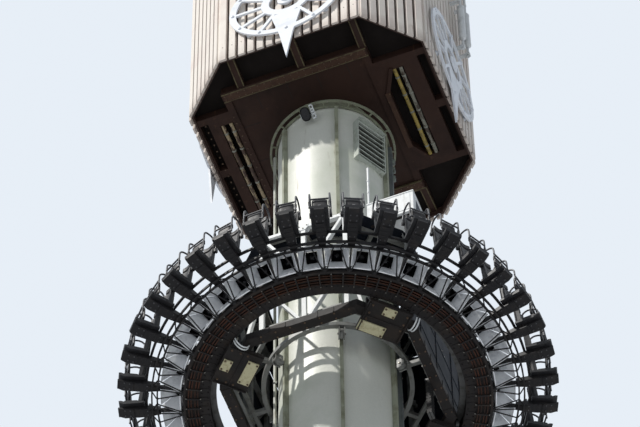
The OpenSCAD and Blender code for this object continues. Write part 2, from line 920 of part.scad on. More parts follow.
// Each head rest is a pad with two side wings
module head_rests() {
    rest_w = 36;
    color("black")
        for (i = [0:seats - 1])
            at_az(seat_az + i * seat_step)
                translate([seat_r - 7, 0, seat_z + pan_t + gap])
                    rotate([0, -back_lean, 0])
                        translate([-2, 0, back_h + gap])
                            linear_extrude(24)
                                difference() {
                                    polygon([
                                        [0, -rest_w / 2 + 4], [4, -rest_w / 2], [15, -rest_w / 2],
                                        [15, rest_w / 2], [4, rest_w / 2], [0, rest_w / 2 - 4]
                                    ]);
                                    translate([28, 0]) circle(r = 20, $fn = 64);
                                }
}

// A harness for each seat: two bars arch from beside the backrest over the shoulders and
// down to the lap, joined by two cross tubes
module harness_bars() {
    top = back_h + 24;
    front = pad_off + 12;
    side_y = (seat_w + bar_w) / 2 + gap;
    color("dimgray")
        for (i = [0:seats - 1])
            at_az(seat_az + i * seat_step)
                translate([seat_r, 0, seat_z + pan_t]) {
                    for (side = [-1, 1])
                        translate([0, side * side_y, 0])
                            upright(bar_w)
                                polygon([
                                    [-10, back_h - 24], [-4, back_h - 26], [-3, back_h],
                                    [4, top - 9], [14, top - 6], [front - 9, top - 14],
                                    [front - 4, back_h - 8], [front - 2, 22], [front + 4, 22],
                                    [front + 2, back_h], [front - 4, top - 6], [15, top],
                                    [0, top - 3], [-8, back_h + 4]
                                ]);
                    for (z = [30, back_h - 22])
                        translate([front, -side_y, z])
                            rotate([-90, 0, 0]) cylinder(r = bar_w / 2, h = 2 * side_y, $fn = small_fn);
                }
}

module chest_pads() {
    pad_w = seat_w - 4;
    color("black")
        for (i = [0:seats - 1])
            at_az(seat_az + i * seat_step)
                translate([seat_r + pad_off, -pad_w / 2, seat_z + pan_t + 24])
                    cube([12 - bar_w / 2 - gap, pad_w, back_h - 38]);
}

base_flange();
base_gussets();
column_section(0);  // column_section_1
column_section(1);  // column_section_2
column_section(2);  // column_section_3
column_section(3);  // column_section_4
column_section(4);  // column_section_5
guide_rails();
service_pipe();
cable_duct();
head_flange();
louvre_hatch();
floodlight();
soffit_frame();
soffit_plate();
tube_runs();
machine_floor();
long_face(0);  // front_cladding
long_face(1);  // right_cladding
long_face(2);  // back_cladding
long_face(3);  // left_cladding
corner_cladding();
roof_deck();
ornament(0);  // front_ornament
ornament(1);  // right_ornament
ornament(2);  // back_ornament
ornament(3);  // left_ornament
antenna_masts();
carriage_frame();
corner_brackets();
corner_plates();
truss_turned(0);  // truss_front
truss_turned(1);  // truss_right
truss_turned(2);  // truss_back
truss_turned(3);  // truss_left
guide_rollers();
ring_rollers();
cable_chain();
drive_housing();
ring_beam();
conductor_rails();
inner_rail();
outer_hoop();
hoop_struts();
crown_boxes();
crown_posts();
crown_hoop();
seat_arms();
seat_pans();
seat_backs();
head_rests();
harness_bars();
chest_pads();
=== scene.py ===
# %% [markdown]
# # A drop tower ride at one tenth of its size
# The real ride is a steel column 120 m tall. A clad machine house sits on its head, and a
# ring of outward seats is lifted by a carriage that grips six rails on the column. The CAD
# solids arrive as a frame of named nodes. This lesson gives each of them a finish and adds
# the bolts, pads, tubes and trims that are too small for the solids.

# %% Load the frame
import bmesh
import bpy
import math
from mathutils import Matrix, Vector


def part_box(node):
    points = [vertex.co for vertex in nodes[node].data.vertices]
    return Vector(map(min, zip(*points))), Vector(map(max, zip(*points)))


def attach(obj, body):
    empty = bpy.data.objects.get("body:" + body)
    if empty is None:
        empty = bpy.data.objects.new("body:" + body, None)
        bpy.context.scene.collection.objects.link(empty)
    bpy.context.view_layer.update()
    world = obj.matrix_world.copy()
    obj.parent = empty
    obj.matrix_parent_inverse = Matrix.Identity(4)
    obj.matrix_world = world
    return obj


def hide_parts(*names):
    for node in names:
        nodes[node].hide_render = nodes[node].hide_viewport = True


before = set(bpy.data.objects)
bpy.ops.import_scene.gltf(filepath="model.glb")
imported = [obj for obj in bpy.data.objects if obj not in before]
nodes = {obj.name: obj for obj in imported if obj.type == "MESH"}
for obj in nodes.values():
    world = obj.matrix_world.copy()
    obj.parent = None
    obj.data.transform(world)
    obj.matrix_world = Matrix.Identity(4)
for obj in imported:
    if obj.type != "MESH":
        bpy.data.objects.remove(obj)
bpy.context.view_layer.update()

# %% [markdown]
# ## The camera
# The photograph was taken from far below, so the camera stands near the foot of the tower
# and looks up at 58 degrees. A long lens keeps the column's edges almost parallel. The
# matrix is built from the direction of view, because that is easier to tune than angles.

# %% Place the camera
def camera_axes(azimuth, pitch, yaw, roll):
    level = Vector((-math.sin(azimuth), math.cos(azimuth), 0))
    across = Vector((math.cos(azimuth), math.sin(azimuth), 0))
    ahead = level * math.cos(yaw) + across * math.sin(yaw)
    right = across * math.cos(yaw) - level * math.sin(yaw)
    view = ahead * math.cos(pitch) + Vector((0, 0, math.sin(pitch)))
    up = right.cross(view)
    turned = right * math.cos(roll) + up * math.sin(roll)
    return turned, up * math.cos(roll) - right * math.sin(roll), view


camera = bpy.data.objects.new("camera", bpy.data.cameras.new("camera"))
bpy.context.scene.collection.objects.link(camera)
focal_pixels, picture_pixels, sensor = 4429, 640, 36
camera.data.sensor_width = sensor
camera.data.lens = focal_pixels / picture_pixels * sensor
camera.data.clip_end = 200
azimuth, pitch, yaw, roll = (math.radians(angle) for angle in (19.6, 58.1, -0.35, -0.93))
right, up, view = camera_axes(azimuth, pitch, yaw, roll)
distance, eye_height = 6.46, 0.16
spot = Vector((math.sin(azimuth) * distance, -math.cos(azimuth) * distance, eye_height))
camera.matrix_world = Matrix.Translation(spot) @ Matrix((right, up, -view)).transposed().to_4x4()
bpy.context.scene.camera = camera
print("camera at", tuple(round(v, 3) for v in spot))

# %% [markdown]
# ## A kit for nodes
# The backdrop, the finishes and the trees that set copies are all built from nodes. One
# function adds a node with its values and links, and two short ones name the usual kinds.

# %% Define how a node is added
def step(tree, kind, links=(), **values):
    """Adds a node, sets its plain values and links its inputs."""
    node = tree.nodes.new(kind)
    for name, value in values.items():
        setattr(node, name, value)
    for name, value in dict(links).items():
        if isinstance(value, bpy.types.NodeSocket):
            tree.links.new(value, node.inputs[name])
        else:
            node.inputs[name].default_value = value
    return node


def put(tree, kind, links=(), **values):
    return step(tree, "ShaderNode" + kind, links, **values)


def calc(tree, operation, *values):
    """One sum with numbers or sockets."""
    return put(tree, "Math", enumerate(values), operation=operation).outputs[0]


print("node kit ready")

# %% [markdown]
# ## Light and floor
# One broad lamp stands for the sun that falls from the front left in the photograph, softened
# so that shadows keep a studio look. The world fills the shade with cool light. What the
# camera sees behind the ride is a pale backdrop at strength 1, so it adds no light.

# %% Set up lamp, world and floor
scene = bpy.context.scene
scene.view_settings.view_transform = "Standard"

lamp = bpy.data.objects.new("key_lamp", bpy.data.lights.new("key_lamp", "SUN"))
lamp.data.energy = 3.7
lamp.data.angle = math.radians(1.5)
lamp.data.color = (1.0, 0.975, 0.93)
lamp.rotation_euler = Vector((0.55, 0.75, -1.0)).to_track_quat("-Z", "Y").to_euler()
scene.collection.objects.link(lamp)


def camera_sees(tree, shown, real):
    """Puts what the camera and shiny surfaces see in front of what lights the object."""
    rays = put(tree, "LightPath").outputs
    seen = calc(tree, "MAXIMUM", rays["Is Camera Ray"], rays["Is Glossy Ray"])
    seen = calc(tree, "MAXIMUM", seen, rays["Is Transmission Ray"])
    return put(tree, "MixShader", {0: seen, 1: real, 2: shown}).outputs[0]


world = bpy.data.worlds.new("studio")
scene.world = world
world.use_nodes = True
fill = world.node_tree.nodes["Background"]
fill.inputs["Color"].default_value = (0.74, 0.86, 1.0, 1)
fill.inputs["Strength"].default_value = 0.22
backdrop = put(world.node_tree, "Background", {"Color": (0.80, 0.86, 0.93, 1)})
shown = camera_sees(world.node_tree, backdrop.outputs[0], fill.outputs[0])
world.node_tree.links.new(shown, world.node_tree.nodes["World Output"].inputs["Surface"])

floor_mesh = bpy.data.meshes.new("floor")
floor_r, corners = 150, 120
turns = [math.radians(360 / corners * k) for k in range(corners)]
floor_mesh.from_pydata([(floor_r * math.cos(a), floor_r * math.sin(a), 0) for a in turns], [],
                       [tuple(range(corners))])
floor = bpy.data.objects.new("floor", floor_mesh)
scene.collection.objects.link(floor)
floor_paint = bpy.data.materials.new("pale_floor")
floor_paint.use_nodes = True
floor_shader = floor_paint.node_tree.nodes["Principled BSDF"]
floor_shader.inputs["Base Color"].default_value = (0.58, 0.60, 0.63, 1)
floor_shader.inputs["Roughness"].default_value = 0.9
floor_mesh.materials.append(floor_paint)
print("lamp", lamp.data.energy, "and world", fill.inputs["Strength"].default_value)

# %% [markdown]
# ## A kit for painted steel
# Almost every surface of the ride is paint on steel, and years outdoors have marked it the
# same way: large soft patches, dirt that runs down in streaks, and small chips or rust spots.
# Noise gives those marks: it is stretched for streaks and cut at a threshold for chips. It is
# taken on object coordinates, so that it keeps its place when the part turns.

# %% Define noise, masks and blending
def linear(red, green, blue):
    """A colour as a painter's chart gives it, 0 to 255, as the numbers that light uses."""
    parts = [v / 255 for v in (red, green, blue)]
    return tuple(v / 12.92 if v <= 0.04045 else ((v + 0.055) / 1.055) ** 2.4 for v in parts) + (1,)


def noise(tree, size, stretch=(1, 1, 1), detail=5, rough=0.6, offset=0.0):
    """Noise whose features are about size metres across, stretched along an axis."""
    place = put(tree, "TexCoord").outputs["Object"]
    scaled = put(tree, "Mapping", {
        "Vector": place, "Location": (offset, offset * 1.7, offset * 0.6),
        "Scale": tuple(1 / (size * s) for s in stretch)})
    return put(tree, "TexNoise", {"Vector": scaled.outputs[0], "Scale": 1.0, "Detail": detail,
                                  "Roughness": rough}).outputs["Fac"]


def mask(tree, value, start, end):
    """Turns a value into 0 below start and 1 above end."""
    return put(tree, "MapRange", {"Value": value, "From Min": start, "From Max": end}).outputs[0]


def blend(tree, amount, under, over):
    """Lays one colour over another by an amount from 0 to 1."""
    mix = put(tree, "Mix", data_type="RGBA", blend_type="MIX")
    for socket, value in ((mix.inputs[0], amount), (mix.inputs[6], under), (mix.inputs[7], over)):
        if isinstance(value, bpy.types.NodeSocket):
            tree.links.new(value, socket)
        else:
            socket.default_value = value
    return mix.outputs[2]


print("noise and blending ready")

# %% [markdown]
# One function layers patches, streaks and chips over the base colour, so each finish only
# names its colours, sizes and thresholds. A fine noise roughens the surface a little, because
# painted steel is never quite smooth.

# %% Define the layered finish
def finish(name, colour, rough=0.5, metal=0.0, patch=None, streak=None, chips=None, grain=0.004,
           dent=0.25, over=None, seed=0.0, gloss=0.5):
    """A weathered finish. patch, streak and chips are (colour, size in metres, threshold)."""
    material = bpy.data.materials.new(name)
    material.use_nodes = True
    tree = material.node_tree
    shader = tree.nodes["Principled BSDF"]
    shader.inputs["Metallic"].default_value = metal
    shader.inputs["Specular IOR Level"].default_value = gloss
    paint = linear(*colour)
    fine = noise(tree, grain, offset=seed + 3)
    paint = blend(tree, calc(tree, "MULTIPLY", mask(tree, fine, 0.35, 0.75), 0.18), paint,
                  tuple(v * 0.62 for v in paint[:3]) + (1,))
    if patch:
        tint, size, edge = patch
        soft = mask(tree, noise(tree, size, offset=seed), edge, edge + 0.22)
        paint = blend(tree, soft, paint, linear(*tint))
    if over:
        paint = over(tree, paint)
    if streak:
        tint, size, edge = streak
        runs = mask(tree, noise(tree, size, (1, 1, 14), offset=seed + 1), edge, edge + 0.12)
        broad = mask(tree, noise(tree, size * 9, offset=seed + 5), 0.42, 0.62)
        both = calc(tree, "MULTIPLY", calc(tree, "MULTIPLY", runs, broad), 0.7)
        paint = blend(tree, both, paint, linear(*tint))
    if chips:
        tint, size, edge = chips
        flakes = noise(tree, size, detail=8, rough=0.72, offset=seed + 2)
        spots = mask(tree, flakes, edge, edge + 0.03)
        paint = blend(tree, spots, paint, linear(*tint))
    tree.links.new(paint, shader.inputs["Base Color"])
    sheen = noise(tree, grain * 6, offset=seed + 4)
    dull = put(tree, "MapRange", {"Value": sheen, "To Min": rough - 0.1,
                                  "To Max": min(rough + 0.16, 1)})
    tree.links.new(dull.outputs[0], shader.inputs["Roughness"])
    bump = put(tree, "Bump", {"Height": fine, "Strength": dent, "Distance": grain * 0.25})
    tree.links.new(bump.outputs[0], shader.inputs["Normal"])
    return material


def dress(material, *names):
    """Gives CAD nodes a finish."""
    for name in names:
        nodes[name].data.materials.clear()
        nodes[name].data.materials.append(material)
    print(material.name, "on", len(names), "nodes")


print("finish kit ready")

# %% [markdown]
# ## The column and its fittings
# The tube is white paint over steel, seen from a hundred metres below. It carries grey-green
# stains, brown runs below the welds and dark specks where chips have rusted. The fins that
# guide the carriage show olive primer where worn, and their olive is darkened as painted
# shade, so that they read as thin dark lines of fin and shadow.

# %% Paint the column
column_paint = finish("column_paint", (216, 217, 207), 0.42,
                      patch=((196, 200, 186), 0.22, 0.46), streak=((120, 104, 78), 0.016, 0.63),
                      chips=((74, 62, 50), 0.022, 0.735), grain=0.006)
# Fins, base gussets and flange: olive primer darkened as painted shade.
fin_paint = finish("fin_paint", (150, 153, 134), 0.55, patch=((112, 112, 90), 0.05, 0.46),
                   streak=((96, 84, 58), 0.008, 0.58), chips=((70, 54, 38), 0.01, 0.69))
rim_paint = finish("rim_paint", (128, 132, 112), 0.55, patch=((92, 88, 70), 0.04, 0.5),
                   chips=((60, 46, 34), 0.008, 0.66), seed=2)
pipe_grey = finish("pipe_grey", (176, 178, 168), 0.45, patch=((132, 130, 116), 0.05, 0.48),
                   chips=((66, 54, 42), 0.008, 0.68), seed=4)
duct_paint = finish("duct_paint", (92, 98, 98), 0.6, patch=((62, 66, 68), 0.06, 0.45),
                    streak=((40, 36, 32), 0.01, 0.56), seed=5)
hatch_paint = finish("hatch_paint", (178, 184, 174), 0.5, patch=((138, 142, 128), 0.03, 0.5),
                     streak=((84, 74, 58), 0.006, 0.56), chips=((60, 48, 36), 0.006, 0.67), seed=6)
dress(column_paint, *["column_section_%d" % k for k in range(1, 6)])
dress(fin_paint, "guide_rails", "base_gussets", "base_flange")
dress(rim_paint, "head_flange")
dress(pipe_grey, "service_pipe")
dress(duct_paint, "cable_duct")
dress(hatch_paint, "louvre_hatch")

# %% [markdown]
# ## The machine house
# Its walls are vertical boards in cream paint with dark gaps between them. The gap is part of
# the solid, so the finish can find it by depth: whatever lies a few millimetres behind the
# face of the boards is painted dark brown. Each board gets a slightly different tone from a
# white noise on its number along the wall, as real boards do.

# %% Paint the boards
house_w, face_half, board_w = 0.351, 0.210, 0.028


def board_lines(tree, paint):
    """Darkens the grooves, found as the distance behind the nearest of the eight walls."""
    place = put(tree, "TexCoord").outputs["Object"]
    x, y, height = put(tree, "SeparateXYZ", {0: place}).outputs
    flat_x, flat_y = calc(tree, "ABSOLUTE", x), calc(tree, "ABSOLUTE", y)
    flat = calc(tree, "MAXIMUM", flat_x, flat_y)
    both = calc(tree, "MULTIPLY", calc(tree, "ADD", flat_x, flat_y), 1 / math.sqrt(2))
    slant = calc(tree, "SUBTRACT", both, (house_w + face_half) / math.sqrt(2) - house_w)
    groove = put(tree, "MapRange", {"Value": calc(tree, "MAXIMUM", flat, slant),
                                    "From Min": house_w - 0.0034, "From Max": house_w - 0.0022,
                                    "To Min": 1.0, "To Max": 0.0}).outputs[0]
    low = put(tree, "MapRange", {"Value": height, "From Min": 10.937, "From Max": 10.99,
                                 "To Min": 0.75, "To Max": 0.0}).outputs[0]
    rough_edge = calc(tree, "MULTIPLY", low, noise(tree, 0.03, (1, 1, 4), offset=8))
    dirty = blend(tree, rough_edge, paint, linear(120, 96, 84))
    number = calc(tree, "SNAP", calc(tree, "ADD", x, y), board_w)
    tone = put(tree, "TexWhiteNoise", {"W": number}, noise_dimensions="1D").outputs["Value"]
    toned = blend(tree, calc(tree, "MULTIPLY", tone, 0.3), dirty, linear(204, 188, 178))
    return blend(tree, groove, toned, linear(58, 38, 30))


board_paint = finish("board_paint", (236, 229, 220), 0.62, patch=((222, 208, 200), 0.12, 0.5),
                     streak=((150, 128, 112), 0.012, 0.6), grain=0.005, over=board_lines, seed=9)
dress(board_paint, "front_cladding", "right_cladding", "back_cladding", "left_cladding",
      "corner_cladding")

# %% [markdown]
# The platform under the house is dark brown. The floor above it is painted nearly black as
# painted shade, so that its openings look deep. The tubes share one node: rusty ones on the
# left, a grey and a yellow one on the right. The finish tells them apart by where they lie, so
# the solid stays in one piece.

# %% Paint the platform, the tubes and the ornaments
soffit_paint = finish("soffit_paint", (54, 36, 29), 0.65, gloss=0.2,
                      patch=((40, 26, 21), 0.16, 0.44), streak=((92, 66, 48), 0.02, 0.62),
                      chips=((112, 84, 60), 0.012, 0.7), seed=11)
# Nearly black for the insides of openings is painted shade, so that they look deep.
inner_dark = finish("inner_dark", (28, 23, 21), 0.8, gloss=0.15, patch=((22, 17, 15), 0.1, 0.45),
                    seed=12)
roof_grey = finish("roof_grey", (70, 70, 68), 0.8, patch=((52, 52, 50), 0.1, 0.45), seed=13)


def tube_colours(tree, paint):
    """Rusty tubes in the left wing, a grey and a yellow one in the right wing."""
    across = put(tree, "SeparateXYZ", {0: put(tree, "TexCoord").outputs["Object"]}).outputs[0]
    flakes = mask(tree, noise(tree, 0.016, (1, 2.5, 1), detail=7, offset=3), 0.5, 0.56)
    rusty = blend(tree, flakes, linear(66, 47, 36), linear(148, 132, 104))
    grey = blend(tree, flakes, linear(122, 120, 108), linear(64, 52, 42))
    right_pair = blend(tree, mask(tree, across, 0.249, 0.2495), paint, grey)
    return blend(tree, mask(tree, across, -0.01, 0.01), rusty, right_pair)


tube_paint = finish("tube_paint", (150, 130, 62), 0.55, patch=((82, 70, 42), 0.02, 0.48),
                    chips=((38, 30, 22), 0.012, 0.6), over=tube_colours, seed=14)
ornament_white = finish("ornament_white", (232, 236, 243), 0.4, patch=((206, 211, 220), 0.06, 0.5),
                        streak=((148, 142, 134), 0.01, 0.64), seed=15)
mast_white = finish("mast_white", (214, 217, 218), 0.4, patch=((182, 186, 186), 0.03, 0.5), seed=16)
dress(soffit_paint, "soffit_frame", "soffit_plate")
dress(inner_dark, "machine_floor")
dress(roof_grey, "roof_deck")
dress(tube_paint, "tube_runs")
dress(ornament_white, "front_ornament", "right_ornament", "back_ornament", "left_ornament")
dress(mast_white, "antenna_masts")

# %% [markdown]
# ## Carriage and ring
# Both are black steel that has gone brown with grease and dust. The cabinet and the front of
# the truss are white. The other sides of the truss are painted grey as painted shade, with
# grease marks over it. The collector rails under the ring are bare copper that has gone dull
# and brown, with darker patches.

# %% Paint the carriage and the ring
frame_black = finish("frame_black", (36, 33, 32), 0.6, gloss=0.2, patch=((50, 42, 37), 0.06, 0.5),
                     chips=((104, 84, 66), 0.009, 0.72), grain=0.004, seed=20)
ring_black = finish("ring_black", (36, 33, 33), 0.6, gloss=0.2, patch=((52, 44, 38), 0.05, 0.5),
                    chips=((112, 92, 74), 0.008, 0.725), grain=0.004, seed=21)
plate_beige = finish("plate_beige", (186, 180, 146), 0.55, patch=((150, 140, 106), 0.012, 0.5),
                     chips=((78, 64, 44), 0.007, 0.66), seed=22)
truss_white = finish("truss_white", (232, 234, 234), 0.4, patch=((202, 205, 202), 0.05, 0.5),
                     streak=((134, 118, 96), 0.008, 0.62), chips=((88, 70, 54), 0.008, 0.72),
                     seed=23)
roller_steel = finish("roller_steel", (88, 88, 87), 0.42, metal=0.6,
                      patch=((58, 55, 51), 0.02, 0.48), seed=24)
chain_black = finish("chain_black", (30, 30, 30), 0.6, gloss=0.2, patch=((58, 54, 48), 0.01, 0.52),
                     grain=0.002, seed=25)
copper = finish("copper", (72, 43, 31), 0.34, metal=0.7, patch=((40, 30, 26), 0.04, 0.42),
                grain=0.002, seed=26)
dress(frame_black, "carriage_frame", "corner_brackets")
dress(ring_black, "ring_beam")
dress(plate_beige, "corner_plates")
# The grey of the three shaded truss sides is painted shade; its patches, streaks and chips are
# grease and rust.
truss_dusty = finish("truss_dusty", (136, 138, 137), 0.5, patch=((94, 92, 86), 0.04, 0.46),
                     streak=((70, 58, 48), 0.008, 0.58), chips=((66, 54, 44), 0.008, 0.7), seed=33)
dress(truss_white, "truss_front", "drive_housing")
dress(truss_dusty, "truss_right", "truss_back", "truss_left")
collar_grey = finish("collar_grey", (122, 123, 119), 0.5, patch=((92, 90, 84), 0.02, 0.48),
                     chips=((84, 70, 56), 0.008, 0.7), seed=32)
dress(collar_grey, "guide_rollers")
dress(roller_steel, "ring_rollers", "inner_rail")
dress(chain_black, "cable_chain")
dress(copper, "conductor_rails")

hood_white = finish("hood_white", (244, 246, 249), 0.38, patch=((196, 199, 204), 0.025, 0.5),
                    streak=((128, 120, 108), 0.006, 0.62), chips=((80, 70, 60), 0.006, 0.72),
                    seed=27)
strut_black = finish("strut_black", (27, 26, 28), 0.5, gloss=0.25, patch=((44, 40, 38), 0.03, 0.52),
                     chips=((120, 108, 96), 0.006, 0.74), seed=28)
shell_plastic = finish("shell_plastic", (30, 30, 33), 0.5, gloss=0.3,
                       patch=((44, 43, 45), 0.02, 0.5), grain=0.0012, dent=0.4, seed=29)
harness_steel = finish("harness_steel", (62, 62, 66), 0.4, patch=((88, 86, 86), 0.01, 0.52),
                       chips=((150, 146, 140), 0.004, 0.72), seed=30)
dress(hood_white, "crown_boxes", "crown_posts", "crown_hoop")
dress(strut_black, "outer_hoop", "hoop_struts", "seat_arms")
dress(shell_plastic, "seat_pans", "seat_backs", "head_rests")
dress(harness_steel, "harness_bars", "chest_pads")
dress(strut_black, "floodlight")

# %% [markdown]
# ## A kit for pieces
# The small pieces are outlines pushed along an axis, boxes, turned knobs and pads, written
# in millimetres. A piece that repeats is drawn once along +X, in the place of a seat that
# looks to the right, and a Geometry Nodes tree sets it round the tower. The other trees set
# bolts on points and put a round skin on lines. Each ends as a plain mesh on one body.

# %% Define outlines, boxes and knobs
MM = 0.001
BOX_FACES = [(0, 3, 2, 1), (4, 5, 6, 7), (0, 1, 5, 4), (1, 2, 6, 5), (2, 3, 7, 6), (3, 0, 4, 7)]


def box(low, high):
    """A block between two corners."""
    (a, b, c), (d, e, f) = low, high
    return [(x, y, z) for z in (c, f) for x, y in ((a, b), (d, b), (d, e), (a, e))], BOX_FACES


def prism(outline, start, end, axis="y"):
    """An outline pushed along an axis. Along y it is drawn in x and z, along z in x and y."""
    place = {"x": lambda u, v, w: (w, u, v), "y": lambda u, v, w: (u, w, v),
             "z": lambda u, v, w: (u, v, w)}[axis]
    count = len(outline)
    verts = [place(u, v, w) for w in (start, end) for u, v in outline]
    sides = [(k, (k + 1) % count, (k + 1) % count + count, k + count) for k in range(count)]
    return verts, sides + [tuple(reversed(range(count))), tuple(range(count, 2 * count))]


def knob(profile, steps=16):
    """A solid of revolution on +Z, from the middle of its foot to the middle of its top."""
    verts, faces = [(0, 0, profile[0][1]), (0, 0, profile[-1][1])], []
    turns = [2 * math.pi * k / steps for k in range(steps)]
    for r, z in profile:
        verts += [(r * math.cos(a), r * math.sin(a), z) for a in turns]
    last = 2 + (len(profile) - 1) * steps
    for k in range(steps):
        n = (k + 1) % steps
        faces += [(0, 2 + n, 2 + k), (1, last + k, last + n)]
        for j in range(len(profile) - 1):
            one, two = 2 + j * steps, 2 + (j + 1) * steps
            faces.append((one + k, one + n, two + n, two + k))
    return verts, faces


print("outlines, boxes and knobs ready")

# %% [markdown]
# Parts are moved by matrices, and a chain of matrices is read from the right: a part is first
# turned or shifted in its own place and then set at its azimuth on the tower.

# %% Define how parts are moved and joined
def through(matrix, point):
    return tuple(matrix @ Vector(point))


def moved(part, matrix):
    return [through(matrix, v) for v in part[0]], part[1]


def joined(*parts):
    verts, faces = [], []
    for more, sides in parts:
        faces += [tuple(i + len(verts) for i in side) for side in sides]
        verts += more
    return verts, faces


def shift(x, y, z):
    return Matrix.Translation((x, y, z))


def turn_by(degrees, axis="Z"):
    return Matrix.Rotation(math.radians(degrees), 4, axis)


def at_azimuth(degrees):
    """Turns what is drawn along +X to an azimuth that runs from the front face to the right."""
    return turn_by(degrees - 90)


def polar(radius, degrees, height):
    a = math.radians(degrees)
    return (radius * math.cos(a), radius * math.sin(a), height)


print("moving and joining ready")

# %% [markdown]
# A piece starts as vertices and faces in millimetres. Its faces are turned outwards and its
# edges get a small bevel, because a real edge is never sharp and catches the light. A tree is
# run once and its result becomes a plain mesh, which is what the export needs.

# %% Define meshes
def add_object(name, mesh, material=None):
    obj = bpy.data.objects.new(name, mesh)
    scene.collection.objects.link(obj)
    if material:
        mesh.materials.clear()
        mesh.materials.append(material)
    return obj


def plain(obj):
    """Applies the modifiers: the evaluated result becomes the object's own mesh."""
    graph = bpy.context.evaluated_depsgraph_get()
    mesh = bpy.data.meshes.new_from_object(obj.evaluated_get(graph),
                                           preserve_all_data_layers=True, depsgraph=graph)
    obj.modifiers.clear()
    old, obj.data = obj.data, mesh
    bpy.data.meshes.remove(old)
    mesh.name = obj.name
    return obj


def faces_out(mesh):
    """Turns the faces of closed shells outwards."""
    work = bmesh.new()
    work.from_mesh(mesh)
    bmesh.ops.recalc_face_normals(work, faces=work.faces)
    work.to_mesh(mesh)
    work.free()


def made(name, part, material, bevel=0.0, smooth=35):
    """A mesh object from millimetres, with its edges broken by a small bevel."""
    mesh = bpy.data.meshes.new(name)
    mesh.from_pydata([tuple(c * MM for c in v) for v in part[0]], [], part[1])
    faces_out(mesh)
    obj = add_object(name, mesh, material)
    if bevel:
        edge = obj.modifiers.new("edge", "BEVEL")
        edge.width = bevel * MM
        edge.segments = 1
        edge.limit_method = "ANGLE"
        edge.angle_limit = math.radians(40)
        plain(obj)
    obj.data.shade_smooth()
    obj.data.set_sharp_from_angle(angle=math.radians(smooth))
    return obj


print("meshes ready to be made")

# %% [markdown]
# A tree gets named inputs, so that it can be run with other sizes for each piece. A finished
# piece is handed to the frame with the body it rides on, and the solids that it stands for are
# hidden.

# %% Define trees and the hand-over
def new_tree(name, sizes):
    """A Geometry Nodes tree with named inputs."""
    tree = bpy.data.node_groups.new(name, "GeometryNodeTree")
    tree.interface.new_socket("Geometry", in_out="INPUT", socket_type="NodeSocketGeometry")
    for label, kind in sizes.items():
        tree.interface.new_socket(label, in_out="INPUT", socket_type="NodeSocket" + kind)
    tree.interface.new_socket("Geometry", in_out="OUTPUT", socket_type="NodeSocketGeometry")
    return tree, tree.nodes.new("NodeGroupInput").outputs


def close_tree(tree, geometry, material):
    """Ends a tree as a plain mesh in one finish."""
    real = step(tree, "GeometryNodeRealizeInstances", {"Geometry": geometry}).outputs[0]
    done = step(tree, "GeometryNodeSetMaterial", {"Geometry": real, "Material": material})
    tree.links.new(done.outputs[0], tree.nodes.new("NodeGroupOutput").inputs[0])
    return tree


def grow(obj, tree, **sizes):
    """Runs a tree on an object and keeps the result as its plain mesh."""
    modifier = obj.modifiers.new(tree.name, "NODES")
    modifier.node_group = tree
    for item in tree.interface.items_tree:
        label = item.name.lower().replace(" ", "_")
        if item.in_out == "INPUT" and label in sizes:
            modifier[item.identifier] = sizes[label]
    return plain(obj)


def settle(obj, body, replaces=()):
    """Hands a finished piece to the frame."""
    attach(obj, body)
    if replaces:
        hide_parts(*replaces)
    obj.data.update()
    faces = sum(len(p.vertices) - 2 for p in obj.data.polygons)
    print(obj.name, "rides on", body, "with", faces, "triangles")


print("trees ready to be built")

# %% [markdown]
# Four trees are enough. The first two set copies, one round the tower and one in a row. Their
# counts and steps are named inputs, so the same tree serves many pieces.

# %% Build the trees for copies
round_tree, given = new_tree("round_the_tower", {"Count": "Int", "First": "Float",
                                                 "Finish": "Material"})
spots = step(round_tree, "GeometryNodeMeshLine", {"Count": given["Count"], "Offset": (0, 0, 0)})
number = step(round_tree, "GeometryNodeInputIndex").outputs[0]
turn = calc(round_tree, "DIVIDE", 2 * math.pi, given["Count"])
angle = calc(round_tree, "MULTIPLY_ADD", number, turn, given["First"])
spin = step(round_tree, "FunctionNodeEulerToRotation",
            {0: put(round_tree, "CombineXYZ", {"Z": angle}).outputs[0]})
copies = step(round_tree, "GeometryNodeInstanceOnPoints", {
    "Points": spots.outputs[0], "Instance": given["Geometry"], "Rotation": spin.outputs[0]})
close_tree(round_tree, copies.outputs[0], given["Finish"])

row_tree, given = new_tree("in_a_row", {"Count": "Int", "Step": "Vector", "Finish": "Material"})
spots = step(row_tree, "GeometryNodeMeshLine", {"Count": given["Count"], "Offset": given["Step"]})
copies = step(row_tree, "GeometryNodeInstanceOnPoints", {"Points": spots.outputs[0],
                                                         "Instance": given["Geometry"]})
close_tree(row_tree, copies.outputs[0], given["Finish"])
print("trees:", round_tree.name, "and", row_tree.name)

# %% [markdown]
# A bolt is a hexagon head on a round washer. It is aimed along the direction that its point
# carries and then twisted by a random angle. A tube is a circle swept along lines.

# %% Build the trees for bolts and tubes
bolt_tree, given = new_tree("bolts", {"Head Radius": "Float", "Head Height": "Float",
                                      "Washer Radius": "Float", "Seed": "Int",
                                      "Finish": "Material"})
head = step(bolt_tree, "GeometryNodeMeshCylinder", {
    "Vertices": 6, "Radius": given["Head Radius"], "Depth": given["Head Height"]})
raised = calc(bolt_tree, "MULTIPLY", given["Head Height"], 0.65)
raised = put(bolt_tree, "CombineXYZ", {"Z": raised})
head = step(bolt_tree, "GeometryNodeTransform", {"Geometry": head.outputs[0],
                                                 "Translation": raised.outputs[0]})
washer = step(bolt_tree, "GeometryNodeMeshCylinder", {
    "Vertices": 12, "Radius": given["Washer Radius"],
    "Depth": calc(bolt_tree, "MULTIPLY", given["Head Height"], 0.3)})
pair = step(bolt_tree, "GeometryNodeJoinGeometry", {0: head.outputs[0]})
bolt_tree.links.new(washer.outputs[0], pair.inputs[0])
